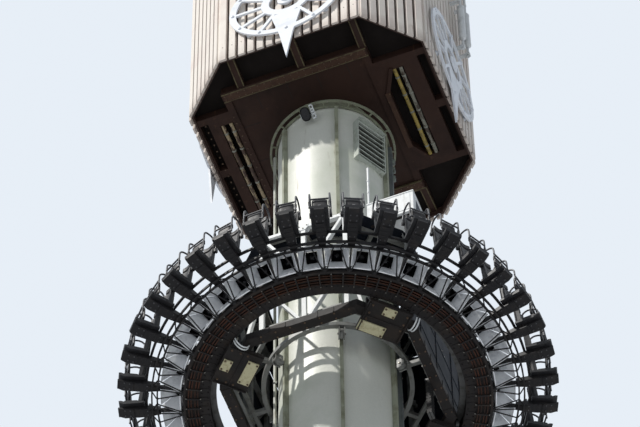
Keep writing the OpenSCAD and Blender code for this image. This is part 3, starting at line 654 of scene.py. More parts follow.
facing = step(bolt_tree, "GeometryNodeInputNamedAttribute", {"Name": "facing"},
              data_type="FLOAT_VECTOR")
aim = step(bolt_tree, "FunctionNodeAlignRotationToVector", {"Vector": facing.outputs[0]}, axis="Z")
any_turn = step(bolt_tree, "FunctionNodeRandomValue", {"Seed": given["Seed"], 3: 1.05},
                data_type="FLOAT")
twist = put(bolt_tree, "CombineXYZ", {"Z": any_turn.outputs[1]})
twist = step(bolt_tree, "FunctionNodeEulerToRotation", {0: twist.outputs[0]})
twisted = step(bolt_tree, "FunctionNodeRotateRotation", {0: aim.outputs[0], 1: twist.outputs[0]},
               rotation_space="LOCAL")
copies = step(bolt_tree, "GeometryNodeInstanceOnPoints", {
    "Points": given["Geometry"], "Instance": pair.outputs[0], "Rotation": twisted.outputs[0]})
close_tree(bolt_tree, copies.outputs[0], given["Finish"])

tube_tree, given = new_tree("round_skin", {"Radius": "Float", "Sides": "Int",
                                           "Finish": "Material"})
lines = step(tube_tree, "GeometryNodeMeshToCurve", {"Mesh": given["Geometry"]})
ring = step(tube_tree, "GeometryNodeCurvePrimitiveCircle", {"Resolution": given["Sides"],
                                                            "Radius": given["Radius"]})
skin = step(tube_tree, "GeometryNodeCurveToMesh", {
    "Curve": lines.outputs[0], "Profile Curve": ring.outputs[0], "Fill Caps": True})
soft = step(tube_tree, "GeometryNodeSetShadeSmooth", {"Geometry": skin.outputs[0],
                                                      "Shade Smooth": True})
close_tree(tube_tree, soft.outputs[0], given["Finish"])
print("trees:", [t.name for t in bpy.data.node_groups])

# %% [markdown]
# These functions feed the trees. Points for bolts carry their direction as an attribute of
# the mesh. Most pieces are made by one call of piece, which joins their parts, sets copies of
# them round the tower if asked, and hands the result over.

# %% Define tubes, bolts and pieces
def tubes(name, lines, radius, material, sides=8):
    """Round bars along lines of points, in millimetres."""
    verts, edges = [], []
    for line in lines:
        edges += [(len(verts) + k, len(verts) + k + 1) for k in range(len(line) - 1)]
        verts += [tuple(c * MM for c in point) for point in line]
    mesh = bpy.data.meshes.new(name)
    mesh.from_pydata(verts, edges, [])
    return grow(add_object(name, mesh), tube_tree, radius=radius * MM, sides=sides, finish=material)


def bolts(name, spots, size, material, seed=1):
    """Hexagon bolts with washers on (point, direction) pairs."""
    mesh = bpy.data.meshes.new(name)
    mesh.from_pydata([tuple(c * MM for c in point) for point, way in spots], [], [])
    facing = mesh.attributes.new("facing", "FLOAT_VECTOR", "POINT")
    for k, (point, way) in enumerate(spots):
        facing.data[k].vector = Vector(way).normalized()
    return grow(add_object(name, mesh), bolt_tree, head_radius=size / 2 * MM,
                head_height=size * 0.6 * MM, washer_radius=size * 0.72 * MM, seed=seed,
                finish=material)


def round_tower(obj, material, count=40, first=-2.3):
    """Copies of what is drawn along +X, the first at an azimuth in degrees."""
    return grow(obj, round_tree, count=count, first=math.radians(first - 90), finish=material)


def piece(name, parts, material, body, bevel=0.0, smooth=35, copies=(), replaces=()):
    """Joins parts to one piece, with copies round the tower if asked, and hands it over."""
    obj = made(name, joined(*parts), material, bevel, smooth)
    if copies:
        obj = round_tower(obj, material, *copies)
    settle(obj, body, replaces)
    return obj


def on_circle(radius, height, count, first, way):
    """Points for bolts on a circle round the tower."""
    return [(polar(radius, first - 90 + 360 * k / count, height), way) for k in range(count)]


bolt_steel = finish("bolt_steel", (150, 148, 142), 0.38, metal=0.75,
                    patch=((104, 84, 62), 0.006, 0.5), seed=31)
print("tubes, bolts and pieces ready")
# %% [markdown]
# ## Lamp hoods
# Forty white hoods stand round the ring, each a square funnel of thin sheet on a welded frame.
# The four sheets of a funnel are the same, so one is drawn, with its lip and its seam, and
# turned three times. The hood is then set round the tower by the tree.

# %% Make the lamp hoods
every_bay = (40, -2.3)
hood_r, hood_z, hole, mouth, hood_d, tilt = 410, 9674, 31, 57, 44, 58
half_in, half_out = hole / 2, mouth / 2
hood_place = at_azimuth(94.5) @ shift(hood_r, 0, hood_z) @ turn_by(tilt, "Y")


def funnel_side():
    """One sheet of a hood with a lip turned outwards along its edge and a seam beside it."""
    plan = [(0, -half_in), (hood_d, 3 - half_out), (hood_d, half_out), (0, half_in)]
    low = [(x, y, half_in + (half_out - half_in) * x / hood_d) for x, y in plan]
    sheet = low + [(x, y, z + 1.4) for x, y, z in low], BOX_FACES
    lip = prism([(hood_d - 1.5, half_out - 0.6), (hood_d + 0.7, half_out - 0.4),
                 (hood_d + 0.9, half_out + 2.2), (hood_d - 1.2, half_out + 2.4)],
                3.2 - half_out, half_out - 0.2)
    seam = prism([(6, half_in + 3.3), (30, half_in + 10.4), (30, half_in + 11.4),
                  (6, half_in + 4.4)], -0.6, 0.6)
    return joined(sheet, lip, seam)


bars = [box((-3, -19, 15.5), (0, 19, 19)), box((-3, -19, -19), (0, 19, -15.5)),
        box((-3, -19, -15.5), (0, -15.5, 15.5)), box((-3, 15.5, -15.5), (0, 19, 15.5))]
hood = joined(*bars, *[moved(funnel_side(), turn_by(90 * k, "X")) for k in range(4)])
piece("lamp_hoods", [moved(hood, hood_place)], hood_white, "seat_ring",
      copies=every_bay, replaces=["crown_boxes"])

# %% [markdown]
# Behind each opening sits a box with a lamp, drawn as a pressed tray with two ends. It is
# painted near black as painted shade of the deep opening. The dark opening is what the eye
# finds from below, so the boxes matter as much as the sheets.

# %% Make the lamp boxes and their bulbs
# Near black on the lamp boxes is painted shade of the deep openings.
lamp_dark = finish("lamp_dark", (10, 10, 12), 0.85, gloss=0.1, patch=((17, 17, 18), 0.02, 0.5),
                   seed=32)
tray = [(-4, -15), (-1.0, -15), (-1.0, -13.4), (-12, -11), (-12, 11), (-1.0, 13.4), (-1.0, 15),
        (-4, 15), (-15, 12.6), (-15, -12.6)]
lamp_box = [prism(tray, -14.9, 14.9, "z"), box((-14, -12, 13.2), (-2, 12, 14.8)),
            box((-14, -12, -14.8), (-2, 12, -13.2))]
piece("lamp_boxes", [moved(part, hood_place) for part in lamp_box], lamp_dark, "seat_ring",
      bevel=0.4, copies=every_bay)
lens_glass = finish("lens_glass", (24, 25, 28), 0.25, gloss=0.35, patch=((16, 16, 18), 0.01, 0.5),
                    dent=0.1, seed=33)
bulb = knob([(7.5, 0), (7.5, 2), (6, 3.4), (3, 4.4), (0.8, 4.8)], 12)
piece("hood_lamps", [moved(bulb, hood_place @ shift(-12, 0, 0) @ turn_by(90, "Y"))], lens_glass,
      "seat_ring", copies=every_bay)

# %% [markdown]
# ## Struts of the ring
# Round struts run from a node under each bay to the hoop, two of them spread and one straight,
# and two short ones go on to the outer hoop. In the solids they are square bars, which is
# enough for their place. Here a round skin follows their lines, and knobs stand for the welds.

# %% Make the struts
strut_lines = [[polar(401.4, side * 0.55, 9617), polar(465.6, side * 3.4, 9627.5)]
               for side in (-1, 1)]
strut_lines += [[(401.4, 0, 9617), (465.6, 0, 9626.5)]]
strut_lines += [[polar(470, side * 3.4, 9628.5), polar(480.2, side * 1.2, 9628.5)]
                for side in (-1, 1)]
struts = round_tower(tubes("ring_struts", strut_lines, 1.75, strut_black), strut_black)
settle(struts, "seat_ring", ["hoop_struts"])

weld = [(2.2, -3), (4.4, -1.8), (5, 0), (4.4, 1.8), (2.2, 3)]
welds = [moved(knob(weld, 10), shift(403, 0, 9616.6))]
welds += [moved(knob(weld, 8), shift(*polar(466.5, side * 3.4, 9628)) @ Matrix.Scale(0.6, 4))
          for side in (-1, 1)]
piece("weld_nodes", welds, strut_black, "seat_ring", copies=every_bay)

# %% [markdown]
# ## Under the ring
# Flat ties hold the collector rails under the beam, rows of bolts close it, and splice plates
# join its four quarters. Bolts are only points with a direction: a tree sets a hexagon head
# and a washer on each, with a small random turn, as a spanner leaves them.

# %% Make the ties, seams and bolts under the ring
down = (0, 0, -1)
tie = prism([(358, 9612.4), (392, 9612.4), (394, 9616), (394, 9620), (392.4, 9620), (391, 9614.4),
             (359, 9614.4), (357.6, 9620), (356, 9620), (356, 9616)], -2, 2)
piece("rail_ties", [tie, box((333, -3.2, 9618.6), (355, 3.2, 9620.5))], ring_black, "seat_ring",
      bevel=0.3, copies=(80, -0.05))
beam_spots = (on_circle(337, 9620, 120, 1.4, down) + on_circle(353, 9620, 80, 2.2, down)
              + on_circle(396, 9620, 120, 0.6, down))
settle(bolts("ring_bolts", beam_spots, 3.8, ring_black, 5), "seat_ring")
tie_spots = on_circle(356.5, 9615.6, 80, -0.05, down) + on_circle(393.4, 9615.6, 80, -0.05, down)
settle(bolts("tie_bolts", tie_spots, 2.6, bolt_steel, 15), "seat_ring")
splice = [box((330.6, -7, 9619.3), (400, 7, 9621)), box((390.6, -9, 9628), (391.6, 9, 9659))]
splices = [moved(part, at_azimuth(90 * k + 20)) for part in splice for k in range(4)]
piece("splice_plates", splices, ring_black, "seat_ring", bevel=0.3)

# %% [markdown]
# ## Seats
# A seat is a moulded shell with a cushion on the pan, one in the back and one at the head, and
# a padded bar across the chest. Each cushion is two skins that meet at a seam, crowned in the
# middle, with sides that pull in between the corners and sewn channels. The vertices follow
# from that rule, so the pads keep their shape at this small size, where a cloth run would
# need a very fine mesh.

# %% Define a cushion
def cushion(wide, long, front, back, channels, bend=0.0):
    """A pad across y and z that faces +X, and the line of its seam."""
    columns, rows, pinch = 12, 14, 0.05
    ease = [[math.sin(math.pi / 2 * (-1 + 2 * k / n)) for k in range(n + 1)]
            for n in (columns, rows)]

    def point(u, v, depth):
        y = wide / 2 * u * (1 - pinch * (1 - v * v)) * (1 - 0.10 * (u * v) ** 4)
        z = long / 2 * v * (1 - pinch * (1 - u * u)) * (1 - 0.10 * (u * v) ** 4)
        crown = math.sqrt(max(0.0, (1 - u ** 4) * (1 - v ** 4)))
        sewn = 1 - sum(0.34 * math.exp(-((v - c) / 0.07) ** 2) for c in channels)
        curve = bend - math.sqrt(bend * bend - y * y) if bend else 0.0
        return (depth * crown * (sewn if depth > 0 else 1) + curve, y, z)

    verts, index = [], {}
    for layer, depth in (("front", front), ("back", -back)):
        for j in range(rows + 1):
            for i in range(columns + 1):
                if layer == "back" and (i in (0, columns) or j in (0, rows)):
                    index[layer, i, j] = index["front", i, j]
                else:
                    index[layer, i, j] = len(verts)
                    verts.append(point(ease[0][i], ease[1][j], depth))
    faces = []
    for j in range(rows):
        for i in range(columns):
            corners = [(i, j), (i + 1, j), (i + 1, j + 1), (i, j + 1)]
            faces.append([index[("front",) + c] for c in corners])
            faces.append([index[("back",) + c] for c in reversed(corners)])
    rim = [(i, 0) for i in range(columns)] + [(columns, j) for j in range(rows)]
    rim += [(columns - i, rows) for i in range(columns)] + [(0, rows - j) for j in range(rows + 1)]
    return (verts, faces), [verts[index[("front",) + c]] for c in rim]


print("cushion ready")

# %% [markdown]
# Four cushions are sewn for one seat and set round the ring. The back and the head are bent to
# the shell. Each is handed over as a piece, and piping follows the seams as a thin tube.

# %% Sew the cushions
vinyl = finish("vinyl", (33, 31, 33), 0.5, gloss=0.35, patch=((46, 43, 44), 0.012, 0.5),
               chips=((70, 66, 64), 0.003, 0.76), grain=0.0009, dent=0.55, seed=34)
piping_grey = finish("piping_grey", (74, 72, 74), 0.5, patch=((52, 50, 52), 0.006, 0.5),
                     grain=0.0006, seed=35)
seat_r, seat_z, pan_t, back_h = 512, 9649.3, 8, 88
lean = shift(seat_r - 7, 0, seat_z + pan_t + 0.3) @ turn_by(-5, "Y")
flat = shift(seat_r + 25, 0, seat_z + 10.6) @ turn_by(-90, "Y")
chest = shift(seat_r + 32.6, 0, seat_z + pan_t + 49) @ turn_by(180)
pads = {
    "seat_cushions": (cushion(35, 36, 5.6, 2.2, (-0.3, 0.35)), flat, 0.75, ()),
    "back_cushions": (cushion(37, 70, 4.6, 0.8, (-0.55, -0.15, 0.25, 0.62), bend=34),
                      lean @ shift(5.6, 0, 47), 0.7, ()),
    "head_cushions": (cushion(36, 23.6, 5.4, 4.6, (0,), bend=28),
                      lean @ shift(3.4, 0, back_h + 12.3), 0.8, ("head_rests",)),
    "chest_cushions": (cushion(41, 49.6, 4.4, 4.4, (-0.45, 0.0, 0.45)),
                       chest, 0.8, ("chest_pads",)),
}
seam_lines = []
for name, ((pad, seam), place, fill, old) in pads.items():
    piece(name, [moved(pad, place)], vinyl, "seat_ring", smooth=60,
                    copies=every_bay, replaces=old)
    seam_lines.append([through(place, p) for p in seam])
piping = round_tower(tubes("cushion_piping", seam_lines, 0.55, piping_grey, 5), piping_grey)
settle(piping, "seat_ring")

# %% [markdown]
# ## Restraints
# A round bar is bent over each shoulder and comes down in front of the chest, where two cross
# bars join the pair. The bars are lines with a round skin. Rubber grips with grooves and the
# hinge blocks on the shell are small solids.

# %% Bend the harness tubes
pan_top, side_y = seat_z + pan_t, 25.8
arch = [(-7, 63), (-6.4, 80), (-5, 92), (-1.5, 100.5), (4, 106), (11, 108.8), (19, 108.4),
        (28, 105.4), (34, 100.6), (37.6, 94), (39, 85), (39.8, 60), (40.6, 40), (41.2, 24)]
harness_lines = [[(seat_r + x, side * side_y, pan_top + z) for x, z in arch] for side in (-1, 1)]
harness_lines += [[(seat_r + 40.2, side * side_y, pan_top + z) for side in (-1, 1)]
                  for z in (30, 66)]
harness = round_tower(tubes("harness_tubes", harness_lines, 2.4, harness_steel), harness_steel)
settle(harness, "seat_ring", ["harness_bars"])

grip = knob([(3.1, 0), (3.5, 0.6), (3.5, 3), (3.2, 3.4), (3.5, 3.8), (3.5, 6.4), (3.2, 6.8),
             (3.5, 7.2), (3.5, 10), (3.2, 10.4), (3.5, 10.8), (3.5, 13.4), (3.1, 14)], 10)
hinge_block = prism([(-11, 56), (-1, 54), (0, 66), (-10, 68)], -3.4, 3.4)
fittings = [moved(part, shift(seat_r + x, side * side_y, pan_top + z))
            for part, x, z in ((grip, 39.5, 40), (hinge_block, 0, 0)) for side in (-1, 1)]
piece("harness_grips", fittings, shell_plastic, "seat_ring", bevel=0.3,
      copies=every_bay)

# %% [markdown]
# ## Backs and arms of the seats
# From below and behind, a shell shows the ribs that stiffen it, and its arm shows the plates
# and bolts that hold it. A flat strap hangs at the front of each pan.

# %% Add the ribs, bolts and straps of the seats
ribs = [moved(prism([(-3.6, 4), (0.4, 4), (0.4, 84), (-1.6, 86)], y - 1, y + 1), lean)
        for y in (-12, 12)]
ribs += [moved(box((-1.8, -16, z), (0.4, 16, z + 2)), lean) for z in (18, 46, 74)]
piece("shell_ribs", ribs, shell_plastic, "seat_ring", bevel=0.3, copies=every_bay)

arm_z = 9633.3
plates = [box((x, -12.2, arm_z - 1.2), (x + 5, 12.2, arm_z + 1)) for x in (504, 517, 530)]
plates += [box((463, -7, arm_z - 1.6), (489, 7, arm_z + 0.4))]
piece("arm_plates", plates, strut_black, "seat_ring", bevel=0.3, copies=every_bay)
arm_spots = []
for k in range(40):
    turn = at_azimuth(-2.3 + 9 * k)
    for x, y in ((495, -6), (495, 6), (540, -8), (540, 8), (554, -8), (554, 8)):
        rise = 0.4 if x < 530 else (x - 521) / 51 * 9.6
        arm_spots.append((through(turn, (x, y, arm_z + rise)), down))
settle(bolts("arm_bolts", arm_spots, 3.2, harness_steel, 6), "seat_ring")

strap = prism([(52, 15.5), (54, 15.5), (46, 40), (41, 46), (40, 45), (44.6, 39)], -3.5, 3.5)
piece("lap_straps", [moved(strap, shift(seat_r - 1, 0, seat_z))], piping_grey, "seat_ring",
      copies=every_bay)

# %% [markdown]
# ## Fittings at the head of the column
# The floodlight is a flat oval housing with cooling fins on a slotted bracket, turned down at
# the ring. It replaces a plainer solid at the same place. It is drawn as a stack of ovals,
# along the axis of its light, and then tilted into place.

# %% Make the floodlight
col_r, rim_z = 155, 10836
lamp_place = at_azimuth(-6.5) @ shift(186, 8, rim_z - 46) @ turn_by(140, "Y")


def oval(rx, ry):
    """An outline between an ellipse and a rounded box."""
    points, count, power = [], 28, 2.6
    for k in range(count):
        a = 2 * math.pi * k / count
        c, s = (math.copysign(abs(v) ** (2 / power), v) for v in (math.cos(a), math.sin(a)))
        points.append((rx * c, ry * s))
    return points


def stacked(layers):
    """Layers of (height, rx, ry) joined to a closed body of ovals."""
    outlines = [oval(rx, ry) for z, rx, ry in layers]
    count = len(outlines[0])
    verts = [(x, y, layer[0]) for layer, points in zip(layers, outlines) for x, y in points]
    faces = [tuple(reversed(range(count))), tuple(range(len(verts) - count, len(verts)))]
    for j in range(len(layers) - 1):
        one, two = j * count, (j + 1) * count
        faces += [(one + k, one + (k + 1) % count, two + (k + 1) % count, two + k)
                  for k in range(count)]
    return verts, faces


housing = [stacked([(-17, 9, 6), (-15, 14, 9), (-8, 18, 12), (-2, 19.4, 13), (-1.8, 20.5, 14),
                    (0.6, 20.5, 14), (0.7, 18, 11.8), (-0.4, 17.6, 11.4)])]
housing += [prism([(-14, -19), (14, -19), (16, -9), (-16, -9)], y - 0.6, y + 0.6)
            for y in (-6, -3, 0, 3, 6)]
floodlight_black = finish("floodlight_black", (20, 20, 21), 0.6, gloss=0.2,
                          patch=((34, 32, 30), 0.01, 0.5), seed=40)
piece("floodlight_body", [moved(part, lamp_place) for part in housing], floodlight_black, "tower",
      replaces=["floodlight"])
glass = stacked([(-0.6, 17.4, 11.2), (0.2, 17.2, 11), (0.9, 14, 8.4), (1.2, 7, 4)])
piece("floodlight_glass", [moved(glass, lamp_place)], lens_glass, "tower")

bracket_paint = finish("bracket_paint", (206, 210, 212), 0.45, patch=((160, 164, 166), 0.01, 0.5),
                       chips=((90, 70, 54), 0.004, 0.7), seed=41)
bracket = [box((-21, 15.5, -13), (21, 17, -4)), box((-21, 15.5, -4), (-17, 27, -2.4)),
           box((17, 15.5, -4), (21, 27, -2.4)), box((-21, 24, -4), (21, 27, -2.4))]
bracket += [box((x, 17, -4), (x + 4, 24, -2.4)) for x in (-10, -2, 6)]
bracket += [box((-7, 15.5, -24), (7, 18, -12)), box((-7, -17, -24), (7, -14.5, -6)),
            box((-4, -17, -40), (4, 18, -22))]
piece("floodlight_bracket", [moved(part, lamp_place) for part in bracket], bracket_paint, "tower",
      bevel=0.3)

# %% [markdown]
# The ventilation hatch is a frame with seven slats over a hollow painted nearly black as
# painted shade, under an arched hood that sheds rain. One slat is drawn and a tree sets it in a
# row.

# %% Make the ventilation hatch
hatch_turn = at_azimuth(60)
low, high, half = 10590, 10780, 48
inside, depth = half - 3, col_r - 26
# The hollow behind the slats is painted nearly black as painted shade.
hollow = box((depth, -inside, low + 3), (col_r + 3.2, inside, high - 3))
piece("hatch_hollow", [moved(hollow, hatch_turn)], inner_dark, "tower", bevel=0.5)

hatch_parts = [box((depth, side * half - 2, low), (col_r + 12, side * half + 2, high))
               for side in (-1, 1)]
hatch_parts += [box((depth, -half, low - 3), (col_r + 9, half, low + 4)),
                box((depth, -half, high - 5), (col_r + 9, half, high + 2))]
arch_angles = [math.radians(-90 + 180 * k / 16) for k in range(17)]
arch_points = [(half * math.sin(a), high + 4 + 15 * math.cos(a) ** 0.8) for a in arch_angles]
for one, two in zip(arch_points, arch_points[1:]):
    verts = [(x, y, z - drop) for drop, far in ((4, 18), (0, 17))
             for x, (y, z) in ((col_r - 24, one), (col_r + far, one), (col_r + far, two),
                               (col_r - 24, two))]
    hatch_parts.append((verts, BOX_FACES))
piece("hatch_frame", [moved(part, hatch_turn) for part in hatch_parts], hatch_paint, "tower",
      bevel=0.5, replaces=["louvre_hatch"])

slat = prism([(col_r + 1.5, low + 12), (col_r + 11.5, low + 5.5), (col_r + 12.4, low + 7.2),
              (col_r + 12.4, low + 8.8), (col_r + 2.6, low + 14.2)], -half + 1.5, half - 1.5)
one_slat = made("hatch_slats", moved(slat, hatch_turn), hatch_paint, bevel=0.3)
slats = grow(one_slat, row_tree, count=7, step=(0, 0, 0.0252), finish=hatch_paint)
settle(slats, "tower")

# %% [markdown]
# Round lamps sit on the cable duct near the head, and screws hold its cover. The pipe on the
# other side of the column is held by black clamps, one every 220 mm.

# %% Set the lamps on the duct and the clamps of the pipe
duct_turn = at_azimuth(104)
grey_green = finish("grey_green", (104, 112, 104), 0.5, patch=((72, 76, 70), 0.01, 0.5), seed=42)
bezel = knob([(9.6, 0), (9.6, 5), (8.4, 7), (6.4, 7), (6.0, 5.4), (0.6, 5.4)], 20)
lens = knob([(6.2, 4.8), (5.6, 6.6), (3.4, 8), (0.5, 8.4)], 16)
places = [duct_turn @ shift(col_r + 12, 0, rim_z - 60 - 45 * k) @ turn_by(90, "Y")
          for k in range(3)]
piece("duct_lamps", [moved(bezel, place) for place in places], grey_green, "tower")
piece("duct_lenses", [moved(lens, place) for place in places], lens_glass, "tower")

duct_spots = [(through(duct_turn, (col_r + 12, y, 190 + k * 140)), through(duct_turn, (1, 0, 0)))
              for k in range(74) for y in (-11, 11)]
settle(bolts("duct_screws", duct_spots, 3.2, bolt_steel, 7), "tower")

half_clamp = [(col_r - 0.5, 8), (col_r + 4, 8), (col_r + 4, 5.4), (col_r + 10, 4.2),
              (col_r + 14.4, 1.6)]
clamp = prism([(x, -y) for x, y in half_clamp] + half_clamp[::-1], 238, 247, "z")
clamp_piece = made("pipe_clamps", moved(clamp, at_azimuth(-70)), floodlight_black, bevel=0.4)
clamps = grow(clamp_piece, row_tree, count=48, step=(0, 0, 0.22), finish=floodlight_black)
settle(clamps, "tower")

# %% [markdown]
# The tube comes in five sections that are welded together, so a bead runs round it at each
# joint, from one guide rail to the next. Bolts close the rim at the head. At the foot, nuts
# and studs hold the flange to its foundation.

# %% Lay the welds and bolts of the column
rail_az, section_h = 23.5, (10858 - 18) / 5
beads = []
for k in range(1, 5):
    for sector in range(6):
        start = rail_az - 90 + 60 * sector + 1.9
        beads.append([polar(col_r + 0.3, start + s * 56.2 / 24, 18 + section_h * k)
                      for s in range(25)])
weld_grey = finish("weld_grey", (150, 148, 132), 0.5, patch=((104, 92, 70), 0.012, 0.46),
                   grain=0.003, dent=0.6, seed=43)
settle(tubes("weld_beads", beads, 1.8, weld_grey, 6), "tower")
rim_spots = (on_circle(160.5, rim_z + 8, 30, rail_az + 4, down)
             + on_circle(175, rim_z + 14, 30, rail_az + 4, down))
settle(bolts("rim_bolts", rim_spots, 3.0, bolt_steel, 8), "tower")

anchors = on_circle(250, 18, 24, rail_az, (0, 0, 1))
settle(bolts("anchor_nuts", anchors, 21, bolt_steel, 9), "tower")
stud = knob([(6.2, 10), (6.2, 34), (5.2, 36), (0.6, 36)], 12)
piece("anchor_studs", [moved(stud, shift(x, y, 10)) for (x, y, z), way in anchors], bolt_steel,
      "tower")

# %% [markdown]
# ## Under the machine house
# From below, the platform shows beams with paler edges, seams between its plates, and rows of
# bolts. The trims are thin strips laid on the solids, a little proud of them, so that each
# edge catches some light against the dark plate.

# %% Trim the platform
soffit_z, clad_z, house, face = 10941, 10937, 351, 210
beam_edge = finish("beam_edge", (92, 84, 62), 0.65, gloss=0.2, patch=((62, 50, 38), 0.02, 0.46),
                   chips=((48, 34, 26), 0.01, 0.66), seed=44)
front_beam = finish("front_beam", (70, 50, 39), 0.65, gloss=0.2, patch=((50, 35, 29), 0.03, 0.5),
                    chips=((104, 92, 68), 0.014, 0.62), seed=45)
trims = []
for end in (-1, 1):
    for outer, inner, low in ((247, 243.5, 6.4), (222, 219.6, 6.2)):
        trims.append(prism([(end * outer, soffit_z - low), (end * inner, soffit_z - low),
                            (end * inner, soffit_z + 2), (end * outer, soffit_z + 2)],
                           -244, 190, "x"))
    rise = [(end * 248, soffit_z - 1), (end * 340, soffit_z + 14), (end * 340, soffit_z + 17.5),
            (end * 248, soffit_z + 2.5)]
    for x in (-182, 0, 182):
        for side in (-9, 9):
            trims.append(prism(rise, x + side - 1.6, x + side + 1.6, "x"))
piece("platform_trims", trims, beam_edge, "tower", bevel=0.4)

strips = [box((-240, end * 233 - 11, soffit_z - 5.8), (186, end * 233 + 11, soffit_z - 4.9))
          for end in (-1, 1)]
strips.append(box((190, -85, soffit_z - 5.9), (204, 105, soffit_z - 4.9)))
piece("beam_faces", strips, front_beam, "tower", bevel=0.2)

seam_dark = finish("seam_dark", (26, 17, 14), 0.8, patch=((44, 29, 23), 0.05, 0.5), seed=46)
seams = [box((x - 0.9, y, soffit_z + 4.6), (x + 0.9, y + 66, soffit_z + 5.2))
         for y in (-226, 160) for x in (-150, -60, 30, 120)]
seams += [box((-224, y - 0.9, soffit_z + 4.6), (-170, y + 0.9, soffit_z + 5.2))
          for y in (-120, 0, 120)]
piece("plate_seams", seams, seam_dark, "tower")

soffit_spots = [((-236 + k * 20, end * y, soffit_z - 5), down)
                for end in (-1, 1) for k in range(22) for y in (226, 240)]
soffit_spots += [((x, -165 + 22 * k, soffit_z), down) for k in range(16) for x in (-322, -236)]
soffit_bolt = finish("soffit_bolt", (92, 74, 58), 0.5, metal=0.3, patch=((58, 42, 34), 0.006, 0.5),
                     seed=47)
settle(bolts("platform_bolts", soffit_spots, 3.4, soffit_bolt, 10), "tower")

# %% [markdown]
# Two tubes run in an opening on each side of the platform. Couplings join their lengths, as
# short thick rings with a soft profile.

# %% Clamp the tubes
grey_tube = finish("grey_tube", (132, 132, 122), 0.5, patch=((86, 82, 70), 0.02, 0.5), seed=49)
coupling = knob([(5.0, -3), (6.6, -2.4), (6.9, 0), (6.6, 2.4), (5.0, 3)], 16)
couplings = [moved(coupling, shift(x, y, soffit_z + 4) @ turn_by(90, "X"))
             for x in (-276.5, -252.5, 240.5, 259.5) for y in (-120, -60, 0, 60, 120)]
piece("tube_couplings", couplings, grey_tube, "tower", smooth=50)

# %% [markdown]
# ## The walls
# The wheels on the walls get a turned hub, domed studs on their rim and feet that stand on the
# wall. Each board is drawn once more, 6 mm proud of the solid and 8 mm longer, so that the
# lower edge of the wall is toothed, and its shadow on the column too.

# %% Finish the walls and the wheels
wheel_r, wheel_z = 162, 11130
parts = [knob([(16, -4), (26, 5.6), (24, 9), (16, 10.4), (14, 13), (5, 14), (0.5, 14)], 28)]
stud = knob([(5.4, 5.4), (5.2, 8), (3, 9.4), (0.5, 9.6)], 10)
parts += [moved(stud, shift(*polar(wheel_r, 30 * k, 0))) for k in range(12)]
wall_foot = knob([(9, -9), (9, -6), (6, -4.6), (5, -2)], 12)
parts += [moved(wall_foot, shift(*polar(wheel_r, 45 + 90 * k, 0))) for k in range(4)]
for side, name in enumerate(("front", "right", "back", "left")):
    place = turn_by(90 * side) @ shift(0, -house - 14, wheel_z) @ turn_by(90, "X")
    piece(name + "_wheel_hub", [moved(part, place) for part in parts], ornament_white, "tower")

trims = [moved(box((x - 2.6, -house + 0.6, clad_z + 8), (x + 2.6, -house + 5, clad_z + 942)),
               turn_by(90 * side)) for side in range(4) for x in (-face, face)]
piece("corner_trims", trims, board_paint, "tower", bevel=0.4)
root = math.sqrt(2)
for name, reach, half, count, azimuth in (
        ("wall_boards", house, face, 15, 0),
        ("corner_boards", (house + face) / root, (house - face) / root, 7, 45)):
    pitch = 2 * half / count
    first = -(count - 1) / 2 * pitch
    board = box((reach - 0.5, first - 0.35 * pitch, clad_z - 8),
                (reach + 6, first + 0.35 * pitch, clad_z + 948))
    row = grow(made(name, board, board_paint, bevel=1.0), row_tree, count=count,
               step=(0, pitch * MM, 0), finish=board_paint)
    settle(round_tower(row, board_paint, 4, azimuth), "tower")
wall_spots = [(through(turn_by(90 * side), (-196 + 28 * k, -house - 6, clad_z + z)),
               through(turn_by(90 * side), (0, -1, 0)))
              for side in range(4) for k in range(15) for z in (60, 350, 640, 900)]
settle(bolts("wall_screws", wall_spots, 2.2, bolt_steel, 11), "tower")

# %% [markdown]
# The roof is only seen from above. It gets a hatch, three vents and the seams of its sheets.
# The antennas get the collars and clamps that hold such poles.

# %% Furnish the roof and the masts
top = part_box("roof_deck")[1][2] / MM
print("roof deck is at", top)
roof = [box((-150, -110, top - 2), (-30, 10, top + 12)),
        box((-154, -114, top + 10), (-26, 14, top + 15)),
        box((-98, -116, top + 4), (-82, -110, top + 9))]
vent = knob([(18, -2), (18, 14), (14, 16), (14, 22), (24, 23), (22, 29), (8, 32), (0.6, 32)], 24)
roof += [moved(vent, shift(x, y, top)) for x, y in ((120, -90), (170, -90), (120, 100))]
roof += [box((-300, y - 2, top - 1), (300, y + 2, top + 1.6)) for y in (-180, -60, 60, 180)]
piece("roof_fittings", roof, roof_grey, "tower", bevel=0.6)

mast_parts = [knob([(4, 58), (8, 62), (11.6, 68), (11.6, 74), (11.2, 76)], 20),
              knob([(11.2, 236), (11.6, 238), (11.6, 243), (7, 248), (4.4, 251)], 20)]
mast_parts += [box((-7, -6.5, z - 5), (6, 6.5, z + 5)) for z in (14, 106)]
mast_parts += [knob([(4, z), (5.6, z + 1), (5.6, z + 7), (4, z + 8)], 12) for z in (300, 420)]
masts = [moved(part, shift(house + 38, 52 + 44 * k, 11292 + 24 * k))
         for k in (0, 1) for part in mast_parts]
piece("mast_fittings", masts, mast_white, "tower", bevel=0.3)

# %% [markdown]
# ## The carriage
# The black frame is bolted from rolled beams, with stiffeners inside and bolted plates at the
# corners. One side is described and turned three times. From below, rows of bolts and the
# edges of stiffeners are what tells a beam from a plain bar.

